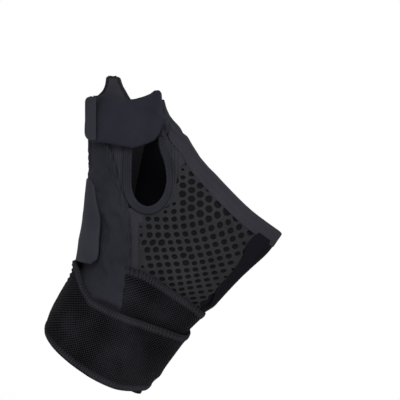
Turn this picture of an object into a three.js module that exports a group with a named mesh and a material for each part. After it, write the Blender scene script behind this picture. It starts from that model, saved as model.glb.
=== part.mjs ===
// A thumb spica splint for the left hand, held in its worn form, palm side towards -Y.
// Millimetres. The origin is the middle of the wrist opening at its lower rim, +Z runs
// along the forearm to the fingers and the thumb leans to -X.
// All pieces lie on one form, a smooth solid in the shape of the wrist, palm and thumb.
// A piece is a sheet between two heights over that form, so that layers nest with a gap.
import * as THREE from "three";

// Driving dimensions
const LENGTH = 140; // wrist rim to the tip of the tongue, along the forearm
const WIDTH = 80; // across the palm at the fingers
const DEPTH = 40; // front to back at the wrist
const THUMB_LEAN = 34; // degrees from the forearm to the thumb
const BLEND = 12; // how softly the thumb runs into the palm
const GAP = 0.3; // between layers
const SEAM_GAP = 0.4; // between panels that meet at a seam
const CROSSING_SLACK = 0.25; // more under a band where it crosses others
const GLOVE_THICKNESS = 2;
const COLUMN_EDGE = 1.3; // thickness of the padded column at its seams
const COLUMN_RISE = 1.2; // how much the padding adds in the middle
const TAB_THICKNESS = 1.6;
const HEM_WIDTH = 9;
const HEM_THICKNESS = 1.3;
const BINDING_WIDTH = 4.2;
const BINDING_THICKNESS = 1.2;
const THUMB_STRAP_WIDTH = 23;
const THUMB_STRAP_THICKNESS = 2;
const THUMB_STRAP_LIFT = 2; // over the thumb, where no cloth lies under the strap
const WRIST_STRAP_WIDTH = 39;
const WRIST_STRAP_THICKNESS = 1.8;
const SEARCH_STEP = 0.8; // when looking for the form's surface

// In every table below, lengths are shares of LENGTH (along), WIDTH (across) and DEPTH
// (front to back), angles are degrees, and widths are shares of the band's own width.

// The form of the forearm and palm: along Z, then across and front to back
const HAND_SECTIONS = [
  // along; middle, half width; middle, half depth
  [-0.086, -0.006, 0.3, 0, 0.463],
  [0, -0.012, 0.318, 0, 0.487],
  [0.086, -0.015, 0.35, 0, 0.505],
  [0.186, -0.015, 0.359, 0, 0.505],
  [0.3, -0.015, 0.371, -0.015, 0.49],
  [0.429, -0.015, 0.415, -0.045, 0.47],
  [0.543, 0.003, 0.435, -0.055, 0.445],
  [0.657, 0.024, 0.459, -0.05, 0.412],
  [0.757, 0.04, 0.483, -0.037, 0.38],
  [0.857, 0.03, 0.494, -0.025, 0.362],
  [1.071, 0.019, 0.512, 0, 0.338],
];
// The form of the thumb, along and across its own leaning axis
const THUMB_SECTIONS = [
  // along; middle, half width; middle, half depth
  [0.143, 0.25, 0.037, -0.05, 0.075],
  [0.286, 0.269, 0.144, -0.125, 0.275],
  [0.429, 0.287, 0.194, -0.188, 0.362],
  [0.536, 0.287, 0.208, -0.237, 0.388],
  [0.643, 0.275, 0.21, -0.287, 0.4],
  [0.75, 0.266, 0.2, -0.325, 0.395],
  [0.857, 0.263, 0.195, -0.35, 0.38],
  [0.957, 0.265, 0.188, -0.362, 0.36],
  [1.057, 0.287, 0.15, -0.362, 0.325],
  [1.157, 0.292, 0.12, -0.362, 0.285],
];
// The line that the pieces of the thumb side are measured from: it starts in the wrist
// and bends into the thumb. A station is a row's number, from 0 at the wrist to 9.
const SPINE = [
  // across, front to back, along; lean as a share of THUMB_LEAN
  [-0.012, 0, 0.014, 0],
  [-0.025, 0, 0.13, 0.12],
  [-0.062, -0.025, 0.243, 0.3],
  [-0.15, -0.075, 0.357, 0.53],
  [-0.269, -0.15, 0.486, 0.76],
  [-0.412, -0.25, 0.621, 0.94],
  [-0.562, -0.337, 0.754, 1],
  [-0.687, -0.357, 0.859, 1],
  [-0.794, -0.362, 0.95, 1],
  [-0.9, -0.362, 1.039, 1],
];
// Angles about the spine: 0 is the thumb side, -90 the palm side, 90 the back.
const PALM_ROWS = [
  // edge at the thumb: station, angle; edge at the little finger: along
  [0.15, -92, 0.021],
  [1.2, -92, 0.15],
  [2.2, -92.5, 0.257],
  [2.8, -94, 0.329],
  [3.5, -95, 0.4],
  [4.2, -97.5, 0.471],
];
const WINDOW_ROWS = [
  // edge at the window: across, front to back, along; edge at the little finger: along
  [-0.335, -0.71, 0.59, 0.536],
  [-0.3, -0.7, 0.612, 0.579],
  [-0.225, -0.61, 0.656, 0.621],
  [-0.218, -0.52, 0.717, 0.664],
  [-0.265, -0.45, 0.776, 0.704],
  [-0.349, -0.43, 0.826, 0.739],
  [-0.445, -0.45, 0.874, 0.771],
  [-0.502, -0.38, 0.927, 0.8],
];
const SIDE_ROWS = [
  // station, angle of the palm edge, angle of the back edge
  [0.15, -92, 75],
  [1.2, -92, 76],
  [2.2, -92.5, 78],
  [2.8, -94, 80],
  [3.5, -94, 82],
  [4.2, -94.5, 86],
  [4.75, -95.5, 90],
  [5.2, -91, 95],
  [5.6, -90, 101],
  [6, -90, 108],
  [6.4, -92.5, 116],
  [7, -96, 122],
  [7.6, -93.5, 116],
  [8, -83, 104],
  [8.3, -73, 88],
  [8.5, -66, 76],
];
const BACK_HEIGHTS = [0.021, 0.121, 0.207, 0.279, 0.35, 0.421, 0.493, 0.557, 0.621, 0.679, 0.729];
const BACK_WEB_ROWS = [
  // edge at the web: across, front to back, along; edge at the little finger: along
  [-0.558, 0.007, 0.9, 0.771],
  [-0.528, -0.05, 0.932, 0.8],
];
const COLUMN_ROWS = [
  // station, angle of the front edge, angle of the back edge
  [0.6, -97, 30],
  [1.4, -98, 36],
  [2.2, -99, 42],
  [2.8, -100.5, 46],
  [3.5, -100.5, 50],
  [4.2, -98.5, 54],
  [4.8, -92, 57],
  [5.2, -82, 59],
  [5.6, -74.5, 60],
  [5.95, -67.5, 61],
  [6.4, -56, 62],
  [6.9, -50.5, 62],
  [7.4, -49, 60],
  [7.8, -45, 54],
  [8.05, -36, 40],
];
const TAB_ROWS = [
  // front edge: station, angle; station of the middle; back edge: station, angle
  [3.36, -52, 3.2, 3.1, 66],
  [3.5, -58.5, 3.38, 3.3, 70],
  [3.8, -59.5, 3.72, 3.68, 71],
  [4.1, -58.5, 4.07, 4.05, 72],
  [4.6, -57.5, 4.58, 4.55, 74],
  [5, -50, 5, 5, 76],
  [5.3, -43.5, 5.34, 5.36, 77],
  [5.42, -36, 5.46, 5.5, 74],
];
const TAB_MIDDLE_ANGLE = -8;
// The middle line of the hem, from the web over the palm and back over the knuckles
const HEM_PATH = [
  // across, front to back, along; width
  [-0.51, -0.16, 0.97, 0.46],
  [-0.51, -0.26, 0.955, 0.5],
  [-0.46, -0.29, 0.935, 0.8],
  [-0.315, -0.36, 0.91, 1],
  [-0.15, -0.43, 0.87, 1],
  [0.05, -0.45, 0.84, 1],
  [0.285, -0.42, 0.815, 1],
  [0.45, -0.32, 0.81, 1],
  [0.55, 0, 0.81, 1],
  [0.5, 0.2, 0.81, 1],
  [0.34, 0.34, 0.815, 1],
  [0.115, 0.39, 0.835, 1],
  [-0.115, 0.39, 0.87, 1],
  [-0.305, 0.33, 0.9, 1],
  [-0.445, 0.21, 0.925, 0.85],
  [-0.515, -0.02, 0.97, 0.5],
];
// The middle line of the binding, first round the window on the palm side
const WINDOW_PATH = [
  // across, front to back, along
  [-0.46, -0.48, 0.885],
  [-0.43, -0.48, 0.86],
  [-0.35, -0.45, 0.825],
  [-0.265, -0.47, 0.775],
  [-0.22, -0.53, 0.72],
  [-0.22, -0.6, 0.67],
  [-0.26, -0.67, 0.635],
  [-0.32, -0.72, 0.625],
  [-0.385, -0.74, 0.635],
  [-0.44, -0.76, 0.66],
  [-0.485, -0.77, 0.695],
  [-0.54, -0.78, 0.745],
  [-0.58, -0.78, 0.785],
  [-0.625, -0.78, 0.825],
  [-0.675, -0.78, 0.87],
  [-0.745, -0.77, 0.91],
  [-0.815, -0.74, 0.935],
  [-0.875, -0.7, 0.95],
];
// and then over the top of the tongue and down its back edge
const TONGUE_PATH = [
  // station, angle
  [8.31, -48],
  [8.34, -10],
  [8.32, 40],
  [8.2, 74],
  [7.95, 92],
  [7.6, 106],
  [7.3, 118],
];
// The middle line of the thumb strap, from its free end round the front and the web
const THUMB_STRAP_PATH = [
  // angle about the thumb, along the thumb; width
  [-2, 0.956, 0.93],
  [-20, 0.953, 0.95],
  [-45, 0.946, 0.97],
  [-72, 0.933, 0.96],
  [-98, 0.924, 0.95],
  [-120, 0.939, 1],
  [-140, 0.961, 1],
  [-156, 0.99, 0.78],
  [-170, 1.017, 0.52],
  [-184, 1.027, 0.44],
  [-200, 1.024, 0.48],
  [-218, 1.019, 0.5],
  [-236, 1.001, 0.66],
  [-256, 0.979, 0.84],
  [-280, 0.96, 0.96],
  [-305, 0.959, 0.96],
  [-322, 0.959, 0.95],
];
// The middle line of the wrist strap, from the column's edge twice round the wrist
const WRIST_STRAP_PATH = [
  // across, front to back, along; width
  [-0.01, -0.57, 0.277, 1],
  [0.075, -0.57, 0.272, 1],
  [0.17, -0.52, 0.269, 1],
  [0.3, -0.38, 0.276, 1],
  [0.378, -0.1, 0.276, 1],
  [0.357, 0.21, 0.264, 1],
  [0.227, 0.46, 0.247, 1],
  [0, 0.555, 0.226, 1],
  [-0.238, 0.49, 0.2, 0.97],
  [-0.392, 0.23, 0.174, 0.92],
  [-0.405, -0.11, 0.15, 0.84],
  [-0.32, -0.395, 0.131, 0.82],
  [-0.188, -0.527, 0.126, 0.87],
  [0, -0.564, 0.134, 0.96],
  [0.149, -0.527, 0.147, 1],
  [0.3, -0.366, 0.172, 0.97],
  [0.37, -0.07, 0.181, 0.98],
  [0.348, 0.248, 0.19, 1],
  [0.194, 0.497, 0.197, 1],
  [0.026, 0.558, 0.2, 1],
];
// How far the first edges of the wrist strap turn, to lie along the column's edge
const WRIST_STRAP_SKEWS = [27, 23, 19, 15, 12, 9, 6, 3];

// A smooth curve through one column of a table whose first column is the place.
function along(table, column, at) {
  const last = table.length - 1;
  const x = THREE.MathUtils.clamp(at, table[0][0], table[last][0]);
  let i = 0;
  while (i < last - 1 && x > table[i + 1][0]) i++;
  const slope = (k) => {
    const a = Math.max(k - 1, 0);
    const b = Math.min(k + 1, last);
    return (table[b][column] - table[a][column]) / (table[b][0] - table[a][0]);
  };
  const h = table[i + 1][0] - table[i][0];
  const s = (x - table[i][0]) / h;
  return (
    (2 * s ** 3 - 3 * s ** 2 + 1) * table[i][column] +
    (s ** 3 - 2 * s ** 2 + s) * h * slope(i) +
    (3 * s ** 2 - 2 * s ** 3) * table[i + 1][column] +
    (s ** 3 - s ** 2) * h * slope(i + 1)
  );
}

// Distance to a tube whose rounded sections follow a table; roundness 2 is an ellipse.
function tube(table, roundness, a, w, y) {
  const half = along(table, 2, a / LENGTH) * WIDTH;
  const deep = along(table, 4, a / LENGTH) * DEPTH;
  const across = Math.abs(w - along(table, 1, a / LENGTH) * WIDTH) / half + 1e-9;
  const out = Math.abs(y - along(table, 3, a / LENGTH) * DEPTH) / deep + 1e-9;
  const rho = (across ** roundness + out ** roundness) ** (1 / roundness);
  const slope = Math.hypot(across ** (roundness - 1) / half, out ** (roundness - 1) / deep);
  return ((rho - 1) * rho ** (roundness - 1)) / slope;
}

const radians = THREE.MathUtils.degToRad;
const COS = Math.cos(radians(THUMB_LEAN));
const SIN = Math.sin(radians(THUMB_LEAN));

// The thumb strap lies on the thumb alone: the palm isn't part of the form under it.
let thumbAlone = false;

// Height of a point over the form.
function height(p) {
  const thumb = tube(THUMB_SECTIONS, 2, p.z * COS - p.x * SIN, p.x * COS + p.z * SIN, p.y);
  if (thumbAlone) return thumb;
  const hand = tube(HAND_SECTIONS, 2.3, p.z, p.x, p.y);
  const near = Math.max(BLEND - Math.abs(hand - thumb), 0) / BLEND;
  return Math.min(hand, thumb) - (near * near * BLEND) / 4;
}

// The direction in which the height grows.
function rise(p) {
  const e = 0.05;
  const g = new THREE.Vector3();
  for (const k of ["x", "y", "z"]) {
    const q = p.clone();
    q[k] += e;
    const high = height(q);
    q[k] -= 2 * e;
    g[k] = (high - height(q)) / (2 * e);
  }
  return g;
}

// Moves a point along the rise until its height is h.
function settle(p, h = 0) {
  const q = p.clone();
  for (let i = 0; i < 7; i++) {
    const g = rise(q);
    q.addScaledVector(g, (h - height(q)) / g.lengthSq());
  }
  return q;
}

// From a point inside the form, goes out along a direction to the form's surface.
function cast(from, direction) {
  const p = from.clone();
  for (let far = 0; height(p) < 0 && far < LENGTH; far += SEARCH_STEP)
    p.addScaledVector(direction, SEARCH_STEP);
  return settle(p);
}

// Four ways to name a place on the form
const at = (x, y, z) => settle(new THREE.Vector3(x * WIDTH, y * DEPTH, z * LENGTH));

function fromSpine(station, angle) {
  const rows = SPINE.map((row, i) => [i, ...row]);
  const [x, y, z, share] = [1, 2, 3, 4].map((c) => along(rows, c, station));
  const lean = radians(share * THUMB_LEAN);
  const turn = radians(angle);
  const direction = new THREE.Vector3(
    -Math.cos(lean) * Math.cos(turn),
    Math.sin(turn),
    -Math.sin(lean) * Math.cos(turn),
  );
  return cast(new THREE.Vector3(x * WIDTH, y * DEPTH, z * LENGTH), direction);
}

// Seen straight from the palm side (side -1) or from the back (side 1)
function onFace(x, z, side) {
  const p = new THREE.Vector3(x * WIDTH, side * 1.5 * DEPTH, z * LENGTH);
  while (height(p) > 0 && p.y * side > -DEPTH / 2) p.y -= side * SEARCH_STEP;
  return settle(p);
}

function onThumb(angle, share) {
  const [middle, half, back, deep] = [1, 2, 3, 4].map((c) => along(THUMB_SECTIONS, c, share));
  const turn = radians(angle);
  const across = (middle - half * Math.cos(turn)) * WIDTH;
  const up = share * LENGTH;
  const y = (back + deep * Math.sin(turn)) * DEPTH;
  return new THREE.Vector3(across * COS - up * SIN, y, across * SIN + up * COS);
}

// The seam down the little-finger side: a little to the palm side of the edge
const SEAM_DEPTH = -0.3;
function onSeam(z) {
  const x = along(HAND_SECTIONS, 1, z) + along(HAND_SECTIONS, 2, z);
  return at(x, SEAM_DEPTH, z);
}

// A smooth line through points, with a number of steps for each stretch
function smooth(points, steps, closed = false) {
  const curve = new THREE.CatmullRomCurve3(points, closed, "centripetal");
  const stretches = closed ? points.length : points.length - 1;
  return Array.from({ length: stretches * steps + (closed ? 0 : 1) }, (_, i) =>
    settle(curve.getPoint(i / (stretches * steps))),
  );
}

// The grid of a panel: rows of places refined along the panel, and between two places
// of a row the points found by going outwards from the straight line between them.
function panelGrid(rows, steps, divisions, inset = 0) {
  const lines = rows[0].map((_, c) => smooth(rows.map((row) => row[c]), steps));
  return lines[0].map((_, i) => {
    const row = lines.map((line) => line[i]);
    const last = row.length - 1;
    const pulled = (a, b) => {
      const d = row[b].clone().sub(row[a]).normalize();
      return settle(row[a].clone().addScaledVector(d, inset));
    };
    [row[0], row[last]] = [pulled(0, 1), pulled(last, last - 1)];
    const made = [];
    for (let c = 0; c < last; c++) {
      const n0 = rise(row[c]).normalize();
      const n1 = rise(row[c + 1]).normalize();
      made.push(row[c]);
      for (let k = 1; k < divisions; k++) {
        const s = k / divisions;
        const d = n0.clone().lerp(n1, s).normalize();
        made.push(cast(row[c].clone().lerp(row[c + 1], s).addScaledVector(d, -0.5), d));
      }
    }
    made.push(row[last]);
    return made;
  });
}

// The grid of a band: at each point of its middle line it goes out to both sides over
// the form, square to the line, in equal steps. Skews turn its first rows.
function bandGrid(points, widths, steps, width, divisions, closed = false, skews = []) {
  const middle = smooth(points, steps, closed);
  const count = middle.length;
  const wrap = (k, n) => (closed ? (k + n) % n : THREE.MathUtils.clamp(k, 0, n - 1));
  const half = (i) => {
    const k = Math.floor(i / steps);
    const [a, b] = [widths[wrap(k, widths.length)], widths[wrap(k + 1, widths.length)]];
    return (width * THREE.MathUtils.lerp(a, b, (i % steps) / steps)) / 2;
  };
  return middle.map((p, i) => {
    const run = middle[wrap(i + 1, count)].clone().sub(middle[wrap(i - 1, count)]);
    const up = rise(p).normalize();
    const side = up.clone().cross(run.normalize()).normalize();
    side.applyAxisAngle(up, radians(skews[i] ?? 0));
    const out = (sign) => {
      const made = [];
      const heading = side.clone().multiplyScalar(sign);
      let from = p;
      for (let k = 0; k < divisions / 2; k++) {
        const next = settle(from.clone().addScaledVector(heading, (2 * half(i)) / divisions));
        heading.copy(next).sub(from);
        const n = rise(next).normalize();
        heading.addScaledVector(n, -heading.dot(n)).normalize();
        made.push(next);
        from = next;
      }
      return made;
    };
    return [...out(-1).reverse(), p, ...out(1)];
  });
}

// What has been laid on the form so far: places, and how high each piece stands there
const laid = [];

function layDown(grid, tops, name) {
  grid.forEach((row, i) =>
    row.forEach((p, j) => {
      laid.push({ place: p, top: tops[i][j], name, row: i });
      for (const [k, m] of [[0, 1], [1, 0], [1, 1]]) {
        const q = grid[i + k]?.[j + m];
        const top = Math.max(tops[i][j], tops[i + k]?.[j + m]);
        if (q) laid.push({ place: p.clone().lerp(q, 0.5), top, name, row: i });
      }
    }),
  );
}

// The heights at which a band lies: over all that is under it, and drawn taut between.
const REACH = 4.8; // how far round a point a layer under it counts
const TAUT_PASSES = 5;

function restHeights(grid, floor, under) {
  const spots = laid.map((spot) => ({
    ...spot,
    foot: thumbAlone ? settle(spot.place) : spot.place,
    top: spot.top + height(spot.place),
  }));
  const need = grid.map((row, i) =>
    row.map((p) => {
      let top = floor - GAP;
      for (const spot of spots)
        if (spot.top > top && spot.foot.distanceTo(p) < REACH && under(spot, i)) top = spot.top;
      return top + GAP + (top > floor ? CROSSING_SLACK : 0);
    }),
  );
  let now = need;
  for (let pass = 0; pass < TAUT_PASSES; pass++)
    now = now.map((row, i) =>
      row.map((h, j) => {
        const before = now[Math.max(i - 1, 0)][j];
        const after = now[Math.min(i + 1, now.length - 1)][j];
        const left = row[Math.max(j - 1, 0)];
        const right = row[Math.min(j + 1, row.length - 1)];
        return Math.max(need[i][j], (before + after + left + right) / 4);
      }),
    );
  return now;
}

const level = (grid, h) => grid.map((row) => row.map(() => h));
const raised = (heights, h) => heights.map((row) => row.map((v) => v + h));
const group = new THREE.Group();

// Makes one closed body from a grid on the form and the heights of its two faces.
function sheet(name, color, grid, low, high, closed = false) {
  const rows = grid.length;
  const columns = grid[0].length;
  const positions = [low, high].flatMap((heights) =>
    grid.flatMap((row, i) => row.flatMap((p, j) => settle(p, heights[i][j]).toArray())),
  );
  const corner = (face, i, j) => face * rows * columns + (i % rows) * columns + j;
  const index = [];
  const quad = (a, b, c, d) => index.push(a, b, c, a, c, d);
  const end = columns - 1;
  for (let i = 0; i < (closed ? rows : rows - 1); i++) {
    for (let j = 0; j < end; j++) {
      quad(corner(1, i, j), corner(1, i + 1, j), corner(1, i + 1, j + 1), corner(1, i, j + 1));
      quad(corner(0, i, j), corner(0, i, j + 1), corner(0, i + 1, j + 1), corner(0, i + 1, j));
    }
    quad(corner(0, i, 0), corner(0, i + 1, 0), corner(1, i + 1, 0), corner(1, i, 0));
    quad(corner(0, i, end), corner(1, i, end), corner(1, i + 1, end), corner(0, i + 1, end));
  }
  const last = rows - 1;
  for (let j = 0; j < end && !closed; j++) {
    quad(corner(0, 0, j), corner(1, 0, j), corner(1, 0, j + 1), corner(0, 0, j + 1));
    quad(corner(0, last, j), corner(0, last, j + 1), corner(1, last, j + 1), corner(1, last, j));
  }
  const vertex = (k) => new THREE.Vector3().fromArray(positions, 3 * k);
  let volume = 0;
  for (let k = 0; k < index.length; k += 3)
    volume += vertex(index[k]).dot(vertex(index[k + 1]).cross(vertex(index[k + 2])));
  if (volume < 0) index.reverse();
  const geometry = new THREE.BufferGeometry();
  geometry.setAttribute("position", new THREE.Float32BufferAttribute(positions, 3));
  geometry.setIndex(index);
  geometry.computeVertexNormals();
  const material = new THREE.MeshStandardMaterial({ color, roughness: 0.9, metalness: 0 });
  const mesh = new THREE.Mesh(geometry, material);
  mesh.name = name;
  group.add(mesh);
  layDown(grid, high, name);
}

// The glove: three panels that meet at seams. A row over the palm or the back has its
// two ends, and between them places at shares of the way, seen from that side.
const PALM_SIDE = -1;
const BACK_SIDE = 1;
const PALM_SHARES = [0.55];
const BACK_SHARES = [0.2, 0.62];

function rowBetween(from, to, shares, side) {
  const between = shares.map((share) => {
    const p = from.clone().lerp(to, share);
    return onFace(p.x / WIDTH, p.z / LENGTH, side);
  });
  return [from, ...between, to];
}

function rowRound(station, front, back) {
  return [front, (front + back) / 2, back].map((angle) => fromSpine(station, angle));
}

function glovePanel(name, color, rows, divisions) {
  const grid = panelGrid(rows, 2, divisions, SEAM_GAP / 2);
  sheet(name, color, grid, level(grid, 0), level(grid, GLOVE_THICKNESS));
}

const palmStarts = PALM_ROWS.map(([station, angle, z]) => [fromSpine(station, angle), z]);
const windowStarts = WINDOW_ROWS.map(([x, y, z, end]) => [at(x, y, z), end]);
const palmRows = [...palmStarts, ...windowStarts].map(([start, end]) =>
  rowBetween(start, onSeam(end), PALM_SHARES, PALM_SIDE),
);
glovePanel("palm_mesh_panel", 0x25262b, palmRows, 6);

const sideRows = SIDE_ROWS.map((row) => rowRound(...row));
glovePanel("thumb_side_panel", 0x1d1e22, sideRows, 8);

const backEnds = BACK_HEIGHTS.map((z, i) => [z, sideRows[i][2]]);
const webEnds = BACK_WEB_ROWS.map(([x, y, z, start]) => [start, at(x, y, z)]);
const backRows = [...backEnds, ...webEnds].map(([z, end]) =>
  rowBetween(onSeam(z), end, BACK_SHARES, BACK_SIDE),
);
glovePanel("back_panel", 0x17181c, backRows, 6);

// The padded column: thin at its seams, raised in the middle
const onGlove = GLOVE_THICKNESS + GAP;
const columnGrid = panelGrid(COLUMN_ROWS.map((row) => rowRound(...row)), 2, 8);
const EASED_ROWS = 3; // the padding ends over these rows at the wrist and the top
const FULLNESS = 0.7; // below 1 the padding is flatter in the middle
const padding = columnGrid.map((row, i) =>
  row.map((_, j) => {
    const swell = Math.sin((Math.PI * j) / (row.length - 1)) ** FULLNESS;
    const end = Math.min(1, Math.min(i, columnGrid.length - 1 - i) / EASED_ROWS);
    return onGlove + COLUMN_EDGE + COLUMN_RISE * swell * end;
  }),
);
sheet("stay_column", 0x202126, columnGrid, level(columnGrid, onGlove), padding);

// The bands sewn round the openings
function sewnBand(name, points, widths, steps, width, thickness, closed) {
  const grid = bandGrid(points, widths, steps, width, 2, closed);
  sheet(name, 0x1a1b1f, grid, level(grid, onGlove), level(grid, onGlove + thickness), closed);
}
sewnBand("hand_opening_hem", HEM_PATH.map((row) => at(...row)), HEM_PATH.map((row) => row[3]),
  3, HEM_WIDTH, HEM_THICKNESS, true);
const bindingPoints = [
  ...WINDOW_PATH.map((row) => at(...row)),
  ...TONGUE_PATH.map((row) => fromSpine(...row)),
];
sewnBand("thumb_opening_binding", bindingPoints, bindingPoints.map(() => 1),
  2, BINDING_WIDTH, BINDING_THICKNESS, false);

// The tab that comes round over the column from the back
const tabGrid = panelGrid(TAB_ROWS.map(([station, angle, middle, end, endAngle]) =>
  [fromSpine(station, angle), fromSpine(middle, TAB_MIDDLE_ANGLE), fromSpine(end, endAngle)]), 1, 7);
const tabLow = restHeights(tabGrid, onGlove, () => true);
sheet("closure_tab", 0x2b2c32, tabGrid, tabLow, raised(tabLow, TAB_THICKNESS));

// The thumb strap, over the column and round the thumb
const underThumbStrap = ["thumb_side_panel", "stay_column", "thumb_opening_binding"];
thumbAlone = true;
const thumbGrid = bandGrid(THUMB_STRAP_PATH.map(([angle, share]) => onThumb(angle, share)),
  THUMB_STRAP_PATH.map((row) => row[2]), 3, THUMB_STRAP_WIDTH, 4);
const thumbLow = restHeights(thumbGrid, THUMB_STRAP_LIFT, (spot) => underThumbStrap.includes(spot.name));
sheet("thumb_strap", 0x24252a, thumbGrid, thumbLow, raised(thumbLow, THUMB_STRAP_THICKNESS));
thumbAlone = false;

// The wrist strap winds round twice, and its second pass lies on the first. It starts
// beside the column, so the column doesn't lift its first rows.
const START_ROWS = 9;
const OVERLAP_ROWS = 14; // at least this far back along the strap is another pass
const wristGrid = bandGrid(WRIST_STRAP_PATH.map((row) => at(...row)),
  WRIST_STRAP_PATH.map((row) => row[3]), 4, WRIST_STRAP_WIDTH, 6, false, WRIST_STRAP_SKEWS);
const beside = (spot, i) => i > START_ROWS || spot.name !== "stay_column";
const firstPass = wristGrid.slice(0, Math.round(wristGrid.length / 2) + START_ROWS);
const firstLow = restHeights(firstPass, onGlove, beside);
layDown(firstPass, raised(firstLow, WRIST_STRAP_THICKNESS), "wrist_strap");
const wristLow = restHeights(wristGrid, onGlove, (spot, i) =>
  beside(spot, i) && (spot.name !== "wrist_strap" || i - spot.row > OVERLAP_ROWS));
sheet("wrist_strap", 0x141519, wristGrid, wristLow, raised(wristLow, WRIST_STRAP_THICKNESS));

export default group;
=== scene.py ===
# %% [markdown]
# # A thumb spica splint in its worn form
#
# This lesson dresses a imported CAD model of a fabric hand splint. The splint is a dark glove
# with an air-mesh palm, a padded column for the stay, a tab, a thumb strap and an elastic
# wrist strap that goes round twice. All of it is cloth in its worn form. So the first step
# rebuilds the one smooth form that all pieces lie on, and each later step lays one piece on
# that form and gives it the detail of its cloth.

import math

import bmesh
import bpy
import numpy as np
from mathutils import Matrix, Vector


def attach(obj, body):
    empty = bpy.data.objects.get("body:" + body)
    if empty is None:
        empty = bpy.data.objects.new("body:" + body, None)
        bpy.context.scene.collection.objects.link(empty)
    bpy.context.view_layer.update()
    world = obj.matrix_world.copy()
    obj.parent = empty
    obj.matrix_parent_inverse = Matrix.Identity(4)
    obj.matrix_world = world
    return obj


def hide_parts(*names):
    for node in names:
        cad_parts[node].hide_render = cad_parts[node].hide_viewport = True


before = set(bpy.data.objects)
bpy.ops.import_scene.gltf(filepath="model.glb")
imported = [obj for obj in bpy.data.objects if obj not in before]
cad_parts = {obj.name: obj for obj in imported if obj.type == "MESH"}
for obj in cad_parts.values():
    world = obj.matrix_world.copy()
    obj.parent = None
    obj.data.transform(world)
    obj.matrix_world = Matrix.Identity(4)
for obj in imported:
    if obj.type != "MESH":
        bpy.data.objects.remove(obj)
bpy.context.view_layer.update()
print("nodes:", ", ".join(sorted(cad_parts)))

# %% [markdown]
# ## The form
#
# Worn cloth has one rounded form under it. A mesh of that form could be modelled, but a
# height function is easier to lay things on: it says how far a point is outside the form.
# Two rounded tubes, one for the palm and one for the thumb, run into each other softly. To
# put a point on the form, it is moved along the slope until its height is right. This is
# the same form, and the same tables, as the CAD model has, so each piece lands on its node.

# %% Sizes in millimetres, and tables whose lengths are shares of them
LENGTH, WIDTH, DEPTH = 140, 80, 40
THUMB_LEAN = 34  # degrees
BLEND = 12
GLOVE_THICKNESS = 2
GAP = 0.3
ON_GLOVE = GLOVE_THICKNESS + GAP
MM = 0.001
TINY = 1e-9
HAND_SECTIONS = [
    # along; middle, half width; middle, half depth
    [-0.086, -0.006, 0.3, 0, 0.463],
    [0, -0.012, 0.318, 0, 0.487],
    [0.086, -0.015, 0.35, 0, 0.505],
    [0.186, -0.015, 0.359, 0, 0.505],
    [0.3, -0.015, 0.371, -0.015, 0.49],
    [0.429, -0.015, 0.415, -0.045, 0.47],
    [0.543, 0.003, 0.435, -0.055, 0.445],
    [0.657, 0.024, 0.459, -0.05, 0.412],
    [0.757, 0.04, 0.483, -0.037, 0.38],
    [0.857, 0.03, 0.494, -0.025, 0.362],
    [1.071, 0.019, 0.512, 0, 0.338],
]
THUMB_SECTIONS = [
    # along; middle, half width; middle, half depth
    [0.143, 0.25, 0.037, -0.05, 0.075],
    [0.286, 0.269, 0.144, -0.125, 0.275],
    [0.429, 0.287, 0.194, -0.188, 0.362],
    [0.536, 0.287, 0.208, -0.237, 0.388],
    [0.643, 0.275, 0.21, -0.287, 0.4],
    [0.75, 0.266, 0.2, -0.325, 0.395],
    [0.857, 0.263, 0.195, -0.35, 0.38],
    [0.957, 0.265, 0.188, -0.362, 0.36],
    [1.057, 0.287, 0.15, -0.362, 0.325],
    [1.157, 0.292, 0.12, -0.362, 0.285],
]
SPINE = [
    # across, front to back, along; lean as a share of THUMB_LEAN
    [-0.012, 0, 0.014, 0],
    [-0.025, 0, 0.13, 0.12],
    [-0.062, -0.025, 0.243, 0.3],
    [-0.15, -0.075, 0.357, 0.53],
    [-0.269, -0.15, 0.486, 0.76],
    [-0.412, -0.25, 0.621, 0.94],
    [-0.562, -0.337, 0.754, 1],
    [-0.687, -0.357, 0.859, 1],
    [-0.794, -0.362, 0.95, 1],
    [-0.9, -0.362, 1.039, 1],
]


# %% Height over the form, and its slope
TABLE_SAMPLES = 700
HAND_ROUNDNESS, THUMB_ROUNDNESS = 2.3, 2
SLOPE_STEP = 0.05
CAST_PASSES = 30


def hermite(s):
    """The shares of two ends and of their two slopes, at a share of the way between."""
    return 2 * s**3 - 3 * s**2 + 1, s**3 - 2 * s**2 + s, 3 * s**2 - 2 * s**3, s**3 - s**2


def through(table, column, at):
    """A smooth curve through one column of a table whose first column is the place."""
    rows = np.array(table, float)
    places, values = rows[:, 0], rows[:, column]
    k = np.arange(len(places))
    low, high = np.maximum(k - 1, 0), np.minimum(k + 1, len(places) - 1)
    slopes = (values[high] - values[low]) / (places[high] - places[low])
    at = np.clip(at, places[0], places[-1])
    i = np.clip(np.searchsorted(places, at) - 1, 0, len(places) - 2)
    step = places[i + 1] - places[i]
    w0, w1, w2, w3 = hermite((at - places[i]) / step)
    ends = w0 * values[i] + w1 * step * slopes[i]
    return ends + w2 * values[i + 1] + w3 * step * slopes[i + 1]


def lines_of(table):
    """The table's columns as finely sampled lines in millimetres, for quick reading."""
    places = np.linspace(table[0][0], table[-1][0], TABLE_SAMPLES)
    sizes = (WIDTH, WIDTH, DEPTH, DEPTH)
    return places * LENGTH, [through(table, c + 1, places) * sizes[c] for c in range(4)]


HAND_LINES = lines_of(HAND_SECTIONS)
THUMB_LINES = lines_of(THUMB_SECTIONS)
COS, SIN = math.cos(math.radians(THUMB_LEAN)), math.sin(math.radians(THUMB_LEAN))


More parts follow.
